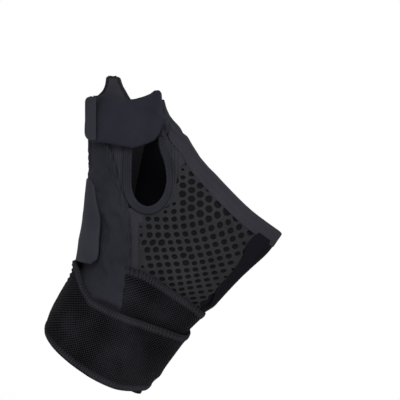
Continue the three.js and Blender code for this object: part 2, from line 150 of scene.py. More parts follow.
def over_tube(lines, roundness, a, w, y):
    """Distance to a tube with rounded sections; roundness 2 is an ellipse."""
    middle, half, back, deep = (np.interp(a, lines[0], line) for line in lines[1])
    across = np.abs(w - middle) / half + TINY
    out = np.abs(y - back) / deep + TINY
    rho = (across**roundness + out**roundness) ** (1 / roundness)
    slope = np.hypot(across ** (roundness - 1) / half, out ** (roundness - 1) / deep)
    return (rho - 1) * rho ** (roundness - 1) / slope


def height(p, thumb_alone=False):
    """How far points are outside the form; the thumb strap lies on the thumb alone."""
    x, y, z = p[..., 0], p[..., 1], p[..., 2]
    along, across = z * COS - x * SIN, x * COS + z * SIN
    thumb = over_tube(THUMB_LINES, THUMB_ROUNDNESS, along, across, y)
    if thumb_alone:
        return thumb
    hand = over_tube(HAND_LINES, HAND_ROUNDNESS, z, x, y)
    near = np.maximum(BLEND - np.abs(hand - thumb), 0) / BLEND
    return np.minimum(hand, thumb) - near**2 * BLEND / 4


def rise(p, thumb_alone=False):
    """The direction in which the height grows, by small steps each way."""
    slopes = []
    for axis in np.eye(3) * SLOPE_STEP:
        up, down = height(p + axis, thumb_alone), height(p - axis, thumb_alone)
        slopes.append((up - down) / (2 * SLOPE_STEP))
    return np.stack(slopes, -1)


def unit(v):
    return v / np.maximum(np.linalg.norm(v, axis=-1, keepdims=True), TINY)


def settle(p, level=0, passes=7, thumb_alone=False):
    """Moves points along the slope until they are at a level over the form."""
    p = np.array(p, float)
    for _ in range(passes):
        g = rise(p, thumb_alone)
        missing = (level - height(p, thumb_alone)) / (g**2).sum(-1)
        p += g * missing[..., None]
    return p


def cast(start, direction):
    """From points inside the form, out along a direction to its surface."""
    p = np.array(start, float)
    for _ in range(CAST_PASSES):
        p += direction * np.maximum(-height(p), 0)[..., None]
    return settle(p)


# %% Ways to name a place on the form
FACE_START = 1.5  # as a share of DEPTH
FACE_PASSES = 40


def at(row):
    """The place on the form nearest to shares across, front to back and along."""
    return settle(np.array(row[:3]) * (WIDTH, DEPTH, LENGTH))


def from_spine(station, angle):
    """Out from the line in the wrist and thumb: 0 is the thumb side, -90 the palm side."""
    rows = [(i, *row) for i, row in enumerate(SPINE)]
    x, y, z, share = (float(through(rows, c, station)) for c in range(1, 5))
    lean, turn = math.radians(share * THUMB_LEAN), math.radians(angle)
    direction = (
        -math.cos(lean) * math.cos(turn),
        math.sin(turn),
        -math.sin(lean) * math.cos(turn),
    )
    return cast(np.array((x * WIDTH, y * DEPTH, z * LENGTH)), np.array(direction))


def on_face(x, z, side):
    """Seen straight from the palm side (-1) or the back (1)."""
    p = np.array((x * WIDTH, side * FACE_START * DEPTH, z * LENGTH))
    for _ in range(FACE_PASSES):
        p[1] -= side * max(float(height(p)), 0)
    return settle(p)


def on_thumb(angle, share):
    """Round the thumb, at a share of the length along it."""
    middle, half, back, deep = (through(THUMB_SECTIONS, c, share) for c in range(1, 5))
    turn = math.radians(angle)
    across = (middle - half * math.cos(turn)) * WIDTH
    up = share * LENGTH
    y = (back + deep * math.sin(turn)) * DEPTH
    return np.array((across * COS - up * SIN, y, across * SIN + up * COS))


print("palm side of the wrist is at y =", round(float(on_face(0, 0.2, -1)[1]), 1), "mm")

# %% [markdown]
# ## Grids of cloth
#
# Cloth needs a grid with two directions, along and across, so that its weave can follow
# it. A panel's grid goes from one edge to the other, and a band's grid goes out to both
# sides of its middle line. Both are first laid coarsely, as in the CAD model, and then
# made finer with a smooth curve through the coarse points, which costs little time.


# %% Smooth lines and finer grids
def smooth(points, steps, closed=False):
    """A centripetal curve through points, with so many steps for each stretch."""
    points = np.asarray(points, float)
    if closed:
        ring = np.concatenate([points[-1:], points, points[:2]])
    else:
        first, last = 2 * points[:1] - points[1:2], 2 * points[-1:] - points[-2:-1]
        ring = np.concatenate([first, points, last])
    made = []
    for a, b, c, d in zip(ring, ring[1:], ring[2:], ring[3:]):
        ta, tb, tc = (np.linalg.norm(q - p) ** 0.5 for p, q in ((a, b), (b, c), (c, d)))
        m0 = ((b - a) / ta - (c - a) / (ta + tb) + (c - b) / tb) * tb
        m1 = ((c - b) / tb - (d - b) / (tb + tc) + (d - c) / tc) * tb
        for s in np.arange(steps) / steps:
            w0, w1, w2, w3 = hermite(s)
            made.append(w0 * b + w1 * m0 + w2 * c + w3 * m1)
    return np.array(made if closed else made + [points[-1]])


def finer(field, steps, axis=0, closed=False):
    """Smooth values between the rows or columns of a grid."""
    f = np.moveaxis(np.asarray(field, float), axis, 0)
    if closed:
        ring = np.concatenate([f[-1:], f, f[:2]])
    else:
        ring = np.concatenate([2 * f[:1] - f[1:2], f, 2 * f[-1:] - f[-2:-1]])
    a, b, c, d = ring[:-3], ring[1:-2], ring[2:-1], ring[3:]
    made = []
    for s in np.arange(steps) / steps:
        made.append(
            b
            + (c - a) * s / 2
            + (2 * a - 5 * b + 4 * c - d) * s**2 / 2
            + (3 * b - a - 3 * c + d) * s**3 / 2
        )
    made = np.stack(made, 1).reshape(-1, *f.shape[1:])
    if not closed:
        made = np.concatenate([made, f[-1:]])
    return np.moveaxis(made, 0, axis)


def finer_both(field, along, across, closed=False):
    """A grid made finer both ways."""
    return finer(finer(field, along, 0, closed), across, 1)


START_INSIDE = 0.5


def panel_grid(rows, steps, divisions, inset=0):
    """A panel from rows of places: refined along, and filled in between the places."""
    rows = np.array(rows, float)
    lines = np.stack([settle(smooth(rows[:, c], steps)) for c in range(rows.shape[1])], 1)
    pull = unit(lines[:, 1] - lines[:, 0]), unit(lines[:, -2] - lines[:, -1])
    lines[:, 0] = settle(lines[:, 0] + inset * pull[0])
    lines[:, -1] = settle(lines[:, -1] + inset * pull[1])
    normals = unit(rise(lines))
    columns = []
    for c in range(lines.shape[1] - 1):
        for k in range(divisions):
            if k == 0:
                columns.append(lines[:, c])
                continue
            s = k / divisions
            out = unit((1 - s) * normals[:, c] + s * normals[:, c + 1])
            start = (1 - s) * lines[:, c] + s * lines[:, c + 1] - START_INSIDE * out
            columns.append(cast(start, out))
    columns.append(lines[:, -1])
    return np.stack(columns, 1)


def band_grid(points, widths, steps, width, divisions, closed=False, skews=(), alone=False):
    """A band from its middle line, out to both sides over the form in equal steps."""
    middle = settle(smooth(points, steps, closed), thumb_alone=alone)
    count = len(middle)
    if closed:
        run = np.roll(middle, -1, 0) - np.roll(middle, 1, 0)
        widths = [*widths, widths[0]]
    else:
        run = np.gradient(middle, axis=0)
    shares = np.interp(np.arange(count) / steps, np.arange(len(widths)), widths)
    up = unit(rise(middle, alone))
    side = unit(np.cross(up, unit(run)))
    turn = np.zeros(count)
    turn[: len(skews)] = np.radians(skews)
    side = side * np.cos(turn)[:, None] + np.cross(up, side) * np.sin(turn)[:, None]
    step = (width * shares / divisions)[:, None]
    columns = {0: middle}
    for sign in (-1, 1):
        place, heading = middle, sign * side
        for k in range(1, divisions // 2 + 1):
            following = settle(place + step * heading, thumb_alone=alone)
            heading = following - place
            n = unit(rise(following, alone))
            heading = unit(heading - (heading * n).sum(-1, keepdims=True) * n)
            columns[sign * k] = place = following
    return np.stack([columns[k] for k in sorted(columns)], 1)


# %% [markdown]
# ## Layers
#
# The straps lie over other pieces. To find how high a strap stands, each piece that is laid
# leaves a note of its places and its upper height. A strap then takes the highest note
# near each of its points, and a few rounds of averaging draw it taut in between, as a
# stretched strap is. A cloth simulation would give this too, but slowly, and in cloth as
# thin and tight as this nothing more would show.

# %% What has been laid, and where a band comes to rest
REACH = 4.8
CROSSING_SLACK = 0.25
TAUT_PASSES = 5
POINTS_AT_ONCE = 400
NOTHING_UNDER = -99
laid = []


def lay_down(grid, tops, name):
    """Notes where a piece lies and how high it is."""
    rows = np.repeat(np.arange(len(grid)), grid.shape[1])
    laid.append((grid.reshape(-1, 3), tops.reshape(-1), name, rows))


def rest_heights(grid, floor, under, alone=False):
    """How high each point of a band's underside lies."""
    points = grid.reshape(-1, 3)
    own_rows = np.repeat(np.arange(len(grid)), grid.shape[1])
    need = np.full(len(points), float(floor))
    for places, tops, name, rows in laid:
        feet = settle(places, thumb_alone=True) if alone else places
        over = tops + (height(places, True) if alone else 0)
        for k in range(0, len(points), POINTS_AT_ONCE):
            part = slice(k, k + POINTS_AT_ONCE)
            far = np.linalg.norm(points[part, None] - feet[None], axis=-1)
            counts = (far < REACH) & under(name, rows[None], own_rows[part, None])
            top = np.where(counts, over[None], NOTHING_UNDER).max(1)
            lying = np.maximum(need[part], top + GAP + CROSSING_SLACK)
            need[part] = np.where(top > need[part] - GAP, lying, need[part])
    need = need.reshape(grid.shape[:2])
    now = need
    for _ in range(TAUT_PASSES):
        p = np.pad(now, 1, mode="edge")
        mean = (p[2:, 1:-1] + p[:-2, 1:-1] + p[1:-1, 2:] + p[1:-1, :-2]) / 4
        now = np.maximum(need, mean)
    return now


# %% [markdown]
# ## From grids to cloth with a thickness
#
# A sheet of cloth on the form is an upper face, a lower face and a rounded rim that joins
# them. Solidify and Bevel modifiers could do this, but here the two heights are known, so
# the rim is laid straight between them, and the mesh is closed from the start. Each point
# also keeps its distance along and across the cloth, in millimetres, as its UV, so that a
# weave can be drawn at its real size.


# %% Bodies from two faces and a rim
def lift(grid, level, alone=False):
    """A grid raised straight up from the form to a level."""
    level = np.broadcast_to(level, grid.shape[:2])
    start = grid + unit(rise(grid, alone)) * level[..., None]
    return settle(start, level, passes=2, thumb_alone=alone)


def measures(grid):
    """How far each point is across and along the cloth, in millimetres."""
    across = np.linalg.norm(np.diff(grid, axis=1), axis=-1)
    u = np.pad(np.cumsum(across, 1), ((0, 0), (1, 0)))
    u = u - u[:, -1:] / 2
    along = np.linalg.norm(np.diff(grid, axis=0), axis=-1).mean(1)
    v = np.broadcast_to(np.pad(np.cumsum(along), (1, 0))[:, None], u.shape)
    return u, v


def quads_of(index):
    """The faces of a grid of point numbers."""
    corners = index[:-1, :-1], index[1:, :-1], index[1:, 1:], index[:-1, 1:]
    return np.stack([corner.ravel() for corner in corners], 1)


def in_scene(name, data):
    """An object with this data, in the scene."""
    made = bpy.data.objects.new(name, data)
    bpy.context.scene.collection.objects.link(made)
    return made


def mesh_object(name, points, faces, uvs=None):
    """A plain mesh piece in metres, with its faces turned outwards."""
    mesh = bpy.data.meshes.new(name)
    mesh.from_pydata((np.asarray(points) * MM).tolist(), [], faces)
    if uvs is not None:
        layer = mesh.uv_layers.new(name="cloth")
        corner = np.empty(len(mesh.loops), np.int32)
        mesh.loops.foreach_get("vertex_index", corner)
        layer.data.foreach_set("uv", np.asarray(uvs, np.float32)[corner].reshape(-1))
    work = bmesh.new()
    work.from_mesh(mesh)
    bmesh.ops.recalc_face_normals(work, faces=work.faces)
    work.to_mesh(mesh)
    work.free()
    mesh.polygons.foreach_set("use_smooth", [True] * len(mesh.polygons))
    return in_scene(name, mesh)


RIM_STEPS = 4
SEWN_RIM = 0.15  # how far a rim that is sewn down stands out, as a share of a half circle


def cloth_body(name, grid, top, bottom, bulge=1.0, closed=False):
    """Joins an upper and a lower face of cloth with a rounded rim."""
    rows, columns = grid.shape[:2]
    u, v = measures(grid)
    index = np.arange(rows * columns).reshape(rows, columns)
    if closed:
        index = np.concatenate([index, index[:1]])
        borders = [index[:, 0], index[:, -1]]
    else:
        ring = [*index[0], *index[1:, -1], *index[-1, -2::-1], *index[-2:0:-1, 0], index[0, 0]]
        borders = [np.array(ring)]
    size = rows * columns
    quads = quads_of(index)
    faces = [*quads.tolist(), *(quads[:, ::-1] + size).tolist()]
    outward = np.zeros_like(grid)
    outward[:, 0] += unit(grid[:, 0] - grid[:, 1])
    outward[:, -1] += unit(grid[:, -1] - grid[:, -2])
    if not closed:
        outward[0] += unit(grid[0] - grid[1])
        outward[-1] += unit(grid[-1] - grid[-2])
    flat_top, flat_bottom = top.reshape(-1, 3), bottom.reshape(-1, 3)
    points = [flat_top, flat_bottom]
    uv = np.stack([u.ravel(), v.ravel()], 1)
    uvs = [uv, uv]
    count = 2 * size
    for border in borders:
        loop = border[:-1]
        middle = (flat_top[loop] + flat_bottom[loop]) / 2
        up = (flat_top[loop] - flat_bottom[loop]) / 2
        half = np.linalg.norm(up, axis=-1, keepdims=True)
        out = unit(outward.reshape(-1, 3)[loop]) * half * bulge
        rings = [loop]
        for k in range(1, RIM_STEPS):
            turn = math.pi * (0.5 - k / RIM_STEPS)
            points.append(middle + out * math.cos(turn) + up * math.sin(turn))
            uvs.append(uv[loop])
            rings.append(np.arange(count, count + len(loop)))
            count += len(loop)
        rings.append(loop + size)
        for first, second in zip(rings, rings[1:]):
            around = [first, np.roll(first, -1), np.roll(second, -1), second]
            faces += np.stack(around, 1).tolist()
    return mesh_object(name, np.concatenate(points), faces, np.concatenate(uvs))


# %% [markdown]
# ## Camera
#
# The photograph looks straight at the palm side, with the camera turned so that the splint
# leans up to the right. The camera is made first, because some details, such as the rows of
# the air mesh, are placed by where they are seen in the photograph.

# %% The camera, and the place on the form behind a pixel
SIDE_PX = 400
FOCAL_PX = 727.3
SENSOR_MM, CLIP_START = 36, 10
EYE = np.array((-1.5, -400.0, 108.0))
ROLL = math.radians(34)
RIGHT = np.array((math.cos(ROLL), 0, math.sin(ROLL)))
UP = np.array((-math.sin(ROLL), 0, math.cos(ROLL)))

camera_data = bpy.data.cameras.new("camera")
camera_data.sensor_width = SENSOR_MM
camera_data.lens = SENSOR_MM * FOCAL_PX / SIDE_PX
camera_data.clip_start = CLIP_START * MM
camera = in_scene("camera", camera_data)
camera.matrix_world = Matrix(
    [[*row, place * MM] for row, place in zip(zip(RIGHT, UP, (0, -1, 0)), EYE)] + [[0, 0, 0, 1]]
)
bpy.context.scene.camera = camera
bpy.context.scene.view_settings.view_transform = "Standard"

HALF_PX = SIDE_PX / 2
RAY_START, RAY_PASSES = 330, 60
RAY_BACK, RAY_ON = -2, 30


def ray_through(px):
    """From the camera through pixels of the photograph, FOCAL_PX deep."""
    px = np.asarray(px, float)
    sideways = RIGHT * (px[..., :1] - HALF_PX) + UP * (HALF_PX - px[..., 1:])
    return sideways + (0, FOCAL_PX, 0)


def seen_at(px, level=0.0):
    """The places on the form, at a level over it, seen at pixels of the photograph."""
    ray = unit(ray_through(px))
    p = EYE + ray * RAY_START
    for _ in range(RAY_PASSES):
        p = p + ray * np.clip(height(p) - level, RAY_BACK, RAY_ON)[..., None]
    return p


def at_depth(px, y):
    """The places at some depths that are seen at some pixels."""
    depth = np.asarray(y, float) - EYE[1]
    return EYE + ray_through(px) * (depth / FOCAL_PX)[..., None]


def pixel_of(p):
    """Where points are seen in the photograph."""
    d = np.asarray(p) - EYE
    u, v = d @ RIGHT / d[..., 1] * FOCAL_PX, d @ UP / d[..., 1] * FOCAL_PX
    return np.stack([HALF_PX + u, HALF_PX - v], -1)


def moved(p, px, direction):
    """Points moved by so many pixels in the picture, and not in depth."""
    return p + direction * (px * (p[..., 1] - EYE[1]) / FOCAL_PX)[..., None]


def ease(x):
    """From 0 to 1 smoothly, and flat at both ends."""
    x = np.clip(x, 0, 1)
    return x * x * (3 - 2 * x)


def round_about(px, centre, reach):
    """1 at a pixel, and less towards its reach each way."""
    sides = [ease(1 - np.abs(px[..., k] - centre[k]) / reach[k]) for k in (0, 1)]
    return sides[0] * sides[1]


# %% [markdown]
# ## Cloth finishes
#
# The real splint is all black, but each cloth reads differently: the brushed loop fabric of
# the straps is soft and a little blue, the knit of the air mesh is greyer, and the elastic
# is grainy. So each finish gets its own dark tone, its own thread pattern in the direction
# of the cloth, and a sheen, because light catches the tiny fibres at grazing angles.


# %% Small helpers for node trees
def linear(hex_colour):
    """An sRGB hex colour as linear numbers."""
    parts = [int(hex_colour[i : i + 2], 16) / 255 for i in (1, 3, 5)]
    return (*[c / 12.92 if c <= 0.04045 else ((c + 0.055) / 1.055) ** 2.4 for c in parts], 1.0)


def add(tree, kind, inputs=None, **settings):
    """Adds a node with its settings; an input is a number or another node's socket."""
    node = tree.nodes.new(kind)
    for key, value in settings.items():
        setattr(node, key, value)
    for key, value in (inputs or {}).items():
        if isinstance(value, bpy.types.NodeSocket):
            tree.links.new(value, node.inputs[key])
        else:
            node.inputs[key].default_value = value
    return node


def ranged(tree, value, low=0.0, high=1.0, to_low=0.0, to_high=1.0):
    """A value moved from one range to another."""
    ends = {"From Min": low, "From Max": high, "To Min": to_low, "To Max": to_high}
    return add(tree, "ShaderNodeMapRange", {"Value": value, **ends}).outputs["Result"]


def reckoned(tree, operation, first, second=0.0, **settings):
    """The result of one step of arithmetic."""
    inputs = {0: first, 1: second}
    return add(tree, "ShaderNodeMath", inputs, operation=operation, **settings).outputs[0]


def noise(tree, place, scale, detail):
    inputs = {"Vector": place, "Scale": scale, "Detail": detail}
    return add(tree, "ShaderNodeTexNoise", inputs).outputs["Fac"]


def blended(tree, share, first, second):
    """A share of the second value in the first."""
    mix = add(tree, "ShaderNodeMix", {0: share, 2: first, 3: second}, data_type="FLOAT")
    return mix.outputs[0]


def on_cloth(tree, across_mm, along_mm):
    """The cloth's own UV in threads: one unit is one thread each way."""
    uv = add(tree, "ShaderNodeUVMap", uv_map="cloth").outputs["UV"]
    scale = (1 / across_mm, 1 / along_mm, 1)
    return add(tree, "ShaderNodeMapping", {"Vector": uv, "Scale": scale}).outputs["Vector"]


# %% One finish for all cloths
UNEVEN_TONE = 0.25
UNEVEN_SCALE = 45.0  # patches a metre
FIBRE_SHEEN = "#6c6e7a"


def cloth_finish(name, dark, light, roughness, sheen, pattern, depth_mm):
    """A cloth whose threads go from a dark to a light tone where the pattern is high."""
    material = bpy.data.materials.new(name)
    material.use_nodes = True
    tree = material.node_tree
    tree.nodes.clear()
    threads = pattern(tree)
    place = add(tree, "ShaderNodeTexCoord").outputs["Object"]
    worn = ranged(tree, noise(tree, place, UNEVEN_SCALE, 3.0), 0.3, 0.7, -UNEVEN_TONE, UNEVEN_TONE)
    amount = reckoned(tree, "ADD", threads, worn, use_clamp=True)
    tones = {0: amount, 6: linear(dark), 7: linear(light)}
    tone = add(tree, "ShaderNodeMix", tones, data_type="RGBA").outputs[2]
    relief = {"Height": threads, "Strength": 0.8, "Distance": depth_mm * MM}
    shader = add(
        tree, "ShaderNodeBsdfPrincipled",
        {"Base Color": tone, "Roughness": roughness, "IOR": 1.45, "Specular IOR Level": 0.03,
         "Sheen Weight": sheen, "Sheen Roughness": 0.45, "Sheen Tint": linear(FIBRE_SHEEN),
         "Normal": add(tree, "ShaderNodeBump", relief).outputs["Normal"]},
    )
    add(tree, "ShaderNodeOutputMaterial", {"Surface": shader.outputs["BSDF"]})
    return material


# %% Thread patterns, each from a real thread size in millimetres
def jersey_threads(tree):
    """Fine wales along the cloth, 0.9 mm apart, a little uneven."""
    threads = on_cloth(tree, 0.9, 2.2)
    wales = add(
        tree, "ShaderNodeTexWave",
        {"Vector": threads, "Scale": 0.31, "Distortion": 1.6, "Detail": 1.0},
        bands_direction="X",
    )
    return blended(tree, 0.45, wales.outputs["Fac"], noise(tree, threads, 0.6, 2.0))


def loop_pile(tree):
    """Brushed loops: an even, short pile with no direction, 0.5 mm tufts."""
    tufts = on_cloth(tree, 0.5, 0.5)
    return blended(tree, 0.4, noise(tree, tufts, 1.0, 4.0), noise(tree, tufts, 0.08, 2.0))


def elastic_ribs(tree):
    """Covered rubber threads: bumps 1.4 mm apart each way, with ladder selvedges."""
    cells = on_cloth(tree, 0.75, 0.65)
    apart = add(tree, "ShaderNodeSeparateXYZ", {"Vector": cells})
    waves = []
    for axis in ("X", "Y"):
        angle = reckoned(tree, "MULTIPLY", apart.outputs[axis], math.pi)
        waves.append(reckoned(tree, "SINE", angle))
    lifted = ranged(tree, reckoned(tree, "MULTIPLY", *waves), low=-0.3)
    body = ranged(tree, blended(tree, 0.5, lifted, noise(tree, cells, 1.1, 3.0)), 0.25, 0.75)
    ladder = ranged(tree, waves[1], low=-1.0, to_low=0.45, to_high=0.8)
    edge = add(tree, "ShaderNodeAttribute", attribute_name="edge").outputs["Fac"]
    selvedge = ranged(tree, edge, 2.6, 3.2, 1.0, 0.0)
    return blended(tree, selvedge, body, ladder)


def tape_weave(tree):
    """A plain woven tape: threads 0.7 mm apart both ways."""
    threads = on_cloth(tree, 0.7, 0.7)
    inputs = {"Vector": threads, "Scale": 1.0, "Randomness": 0.35}
    return add(tree, "ShaderNodeTexVoronoi", inputs).outputs["Distance"]


def net_yarn(tree):
    """The multi-filament yarn of the air mesh: fine and uneven."""
    return noise(tree, add(tree, "ShaderNodeTexCoord").outputs["Object"], 1500.0, 3.0)


FINISHES = [
    # name; dark and light tone; roughness; sheen; threads; their relief in millimetres
    ("nylon jersey, knitted", "#1c1c20", "#27272c", 0.9, 0.05, jersey_threads, 0.05),
    ("nylon jersey over foam", "#15151a", "#1f1f25", 0.9, 0.05, jersey_threads, 0.04),
    # The back knit is the smooth knit of the thumb side, darkened: painted shade on the back and its
    # edge.
    ("smooth knit in painted shade", "#08080b", "#0e0e13", 0.9, 0.0, jersey_threads, 0.03),
    ("brushed nylon loop fabric", "#1c1c21", "#26262c", 0.95, 0.08, loop_pile, 0.08),
    ("brushed nylon tricot", "#15151a", "#1e1e25", 0.95, 0.06, loop_pile, 0.06),
    ("woven nylon tape", "#101014", "#1a1a1f", 0.9, 0.03, tape_weave, 0.06),
    ("ribbed elastic webbing", "#010102", "#1e1e22", 0.9, 0.02, elastic_ribs, 0.3),
    ("polyester air mesh, face yarn", "#161618", "#242426", 0.9, 0.05, net_yarn, 0.06),
    # The back knit is real, but its tone, darker than the face yarn, is painted shade for the holes.
    ("polyester air mesh, back knit in painted shade", "#0a0a0c", "#101012", 0.95, 0.0, net_yarn, 0.1),
    ("spun polyester sewing thread", "#212126", "#2c2c31", 0.8, 0.05, net_yarn, 0.05),
]
finishes = [cloth_finish(*row) for row in FINISHES]
jersey, padded_jersey, back_cloth_painted_shade, loops, tricot, tape, elastic, net_knit, net_back_painted_shade, thread = finishes
print(len(finishes), "finishes")


# %% A finished piece joins the frame
def finish_piece(piece, material, node=None):
    """Gives a piece its finish and its body, and hides the solid that it stands for."""
    piece.data.materials.clear()
    piece.data.materials.append(material)
    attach(piece, "root")
    if node:
        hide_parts(node)
    print(piece.name, len(piece.data.polygons), "faces")


def second_finish(piece, material, where):
    """Another finish on the upper side, where that is true of a face's first point."""
    piece.data.materials.append(material)
    where = where.reshape(-1)
    for face in piece.data.polygons:
        k = min(face.vertices)
        if face.index < where.size and k < where.size and where[k]:
            face.material_index = 1


# %% [markdown]
# ## The glove's panels
#
# Three panels are sewn together: air mesh over the palm, smooth knit on the thumb side and
# smooth knit on the back. Each is a sheet from a short table of its edges. The palm panel
# is thinner where the open net lies on it, so that the net's holes have a real depth behind
# them. There it takes the net's back knit, which is real, in a tone darker than the face
# yarn: painted shade at the bottom of the holes.

# %% Edges of the panels, as in the CAD model
SEAM_DEPTH = -0.3
SEAM_INSET = 0.2
PALM_SHARES, BACK_SHARES = [0.55], [0.2, 0.62]
PALM_ROWS = [
    # edge at the thumb: station, angle; edge at the little finger: along
    [0.15, -92, 0.021],
    [1.2, -92, 0.15],
    [2.2, -92.5, 0.257],
    [2.8, -94, 0.329],
    [3.5, -95, 0.4],
    [4.2, -97.5, 0.471],
]
WINDOW_ROWS = [
    # edge at the window: across, front to back, along; edge at the little finger: along
    [-0.335, -0.71, 0.59, 0.536],
    [-0.3, -0.7, 0.612, 0.579],
    [-0.225, -0.61, 0.656, 0.621],
    [-0.218, -0.52, 0.717, 0.664],
    [-0.265, -0.45, 0.776, 0.704],
    [-0.349, -0.43, 0.826, 0.739],
    [-0.445, -0.45, 0.874, 0.771],
    [-0.502, -0.38, 0.927, 0.8],
]
SIDE_ROWS = [
    # station, angle of the palm edge, angle of the back edge
    [0.15, -92, 75],
    [1.2, -92, 76],
    [2.2, -92.5, 78],
    [2.8, -94, 80],
    [3.5, -94, 82],
    [4.2, -94.5, 86],
    [4.75, -95.5, 90],
    [5.2, -91, 95],
    [5.6, -90, 101],
    [6, -90, 108],
    [6.4, -92.5, 116],
    [7, -96, 122],
    [7.6, -93.5, 116],
    [8, -83, 104],
    [8.3, -73, 88],
    [8.5, -66, 76],
]
BACK_HEIGHTS = [0.021, 0.121, 0.207, 0.279, 0.35, 0.421, 0.493, 0.557, 0.621, 0.679, 0.729]
BACK_WEB_ROWS = [
    # edge at the web: across, front to back, along; edge at the little finger: along
    [-0.558, 0.007, 0.9, 0.771],
    [-0.528, -0.05, 0.932, 0.8],
]


def on_seam(z):
    """The seam down the little-finger side."""
    x = float(through(HAND_SECTIONS, 1, z) + through(HAND_SECTIONS, 2, z))
    return at((x, SEAM_DEPTH, z))


def row_between(start, end, shares, side):
    """A row over the palm or the back: its ends, and places seen between them."""
    between = []
    for share in shares:
        p = start + (end - start) * share
        between.append(on_face(p[0] / WIDTH, p[2] / LENGTH, side))
    return [start, *between, end]


def row_round(station, front, back):
    """A row round the thumb side, from its front edge to its back edge."""
    return [from_spine(station, angle) for angle in (front, (front + back) / 2, back)]


palm_ends = [(from_spine(t, a), on_seam(z)) for t, a, z in PALM_ROWS]
palm_ends += [(at(row), on_seam(row[3])) for row in WINDOW_ROWS]
palm_rows = [row_between(start, end, PALM_SHARES, -1) for start, end in palm_ends]
side_rows = [row_round(*row) for row in SIDE_ROWS]
back_ends = [(on_seam(z), side_rows[i][2]) for i, z in enumerate(BACK_HEIGHTS)]
back_ends += [(on_seam(row[3]), at(row)) for row in BACK_WEB_ROWS]
back_rows = [row_between(start, end, BACK_SHARES, 1) for start, end in back_ends]

palm_coarse = panel_grid(palm_rows, 2, 12, SEAM_INSET)
side_coarse = panel_grid(side_rows, 2, 12, SEAM_INSET)
back_coarse = panel_grid(back_rows, 2, 8, SEAM_INSET)
for coarse, name in ((palm_coarse, "palm"), (side_coarse, "side"), (back_coarse, "back")):
    lay_down(coarse, np.full(coarse.shape[:2], GLOVE_THICKNESS), name)

# %% [markdown]
# ## Where the open net lies
#
# The holes of the air mesh fade out into a plain knit margin at the column, round the
# thumb window, under the hem and at the back panel. Its outline, and the curved rows of
# holes, were read on the photograph at a few pixels each. The rows run level at
# the left and climb to the right, because the cloth is pulled up there.

# %% The net's outline, and how far a place is inside it
NET_OUTLINE_PX = np.array([
    (141, 214), (152, 215), (161, 213), (169, 208), (174, 202), (176, 193), (179, 182), (183, 170),
    (188, 164), (194, 171), (203, 181), (217, 193), (229, 203), (241, 213), (253, 224), (259, 231),
    (252, 238), (244, 246), (240, 257), (232, 268), (223, 278), (213, 288), (209, 297), (204, 308),
    (198, 322), (184, 318), (164, 303), (149, 291), (142, 283), (141, 250),
], float)
FAR_PX = 1e9
FRONT_LIMIT = 2  # millimetres; what lies further back is behind the net


def inside_net(p):
    """Pixels inside the net's outline; negative outside."""
    q = pixel_of(p)
    ends = np.roll(NET_OUTLINE_PX, -1, 0)
    nearest = np.full(q.shape[:-1], FAR_PX)
    crossings = np.zeros(q.shape[:-1], int)
    for a, b in zip(NET_OUTLINE_PX, ends):
        edge = b - a
        share = np.clip(((q - a) @ edge) / (edge @ edge), 0, 1)
        nearest = np.minimum(nearest, np.linalg.norm(q - a - share[..., None] * edge, axis=-1))
        spans = (a[1] > q[..., 1]) != (b[1] > q[..., 1])
        at_x = a[0] + (q[..., 1] - a[1]) / (edge[1] if edge[1] else TINY) * edge[0]
        crossings += spans & (q[..., 0] < at_x)
    facing = p[..., 1] < FRONT_LIMIT
    return np.where((crossings % 2 == 1) & facing, nearest, -nearest)


# %% The palm panel
NET_DEPTH = 0.9
NET_MARGIN_PX, NET_FADE_PX = 4, 3
# Where the net is this deep, the panel gets the back knit with painted shade.
PAINTED_SHADE_FROM = 0.8  # share of the net's depth
WEB_FOLD, WEB_FOLD_PITCH_PX, WEB_FOLD_SLANT = 0.5, 3.6, 0.05
WEB_FOLD_X_PX, WEB_FOLD_WIDE_PX = 172, 16
WEB_FOLD_FOOT_PX, WEB_FOLD_HIGH_PX = 215, 40

palm = settle(finer_both(palm_coarse, 4, 6))
net_share = ease((inside_net(palm) + NET_MARGIN_PX) / NET_FADE_PX)
px, py = np.moveaxis(pixel_of(palm), -1, 0)
fold_share = ease(1 - np.abs(px - WEB_FOLD_X_PX) / WEB_FOLD_WIDE_PX)
fold_share = fold_share * ease((WEB_FOLD_FOOT_PX - py) / WEB_FOLD_HIGH_PX) * (palm[..., 1] < 0)
fold_waves = np.sin(px * 2 * math.pi / WEB_FOLD_PITCH_PX + py * WEB_FOLD_SLANT)
palm_high = GLOVE_THICKNESS - NET_DEPTH * net_share + WEB_FOLD * fold_waves * fold_share
palm_piece = cloth_body("palm_panel", palm, lift(palm, palm_high), lift(palm, 0), SEWN_RIM)
finish_piece(palm_piece, jersey, "palm_mesh_panel")
# The darker back knit under the open holes is painted shade.
second_finish(palm_piece, net_back_painted_shade, net_share > PAINTED_SHADE_FROM)

# %% The thumb side panel and the back panel
# The strap hides what is higher than this in the picture; the tongue comes out again above.
UNDER_STRAP_PX = 112
GATHER_RELIEF, CREASE_RELIEF = 0.4, 0.45
GATHER_PITCH_PX, CREASE_PITCH_PX, CREASE_SLANT = 3.6, 6.0, 0.55
GATHER_WAVER, GATHER_WAVER_RATE = 0.6, 0.07
GATHER_PX, GATHER_REACH_PX = (119, 178), (15, 46)
CREASE_PX, CREASE_REACH_PX = (84, 277), (14, 20)
FACES_FRONT = -4  # millimetres


def seen_below(grid, limit):
    """The rows round the one seen lowest, up to a height in the photograph."""
    level = pixel_of(grid)[..., 1].mean(1)
    first = last = int(np.argmax(level))
    while first > 0 and level[first - 1] > limit:
        first -= 1
    while last < len(level) - 1 and level[last + 1] > limit:
        last += 1
    return slice(first, last + 1)


def glove_panel(name, fine, high, material, node):
    """A panel of the glove with its own heights, as a sheet of cloth."""
    piece = cloth_body(name, fine, lift(fine, high), lift(fine, 0), SEWN_RIM)
    finish_piece(piece, material, node)


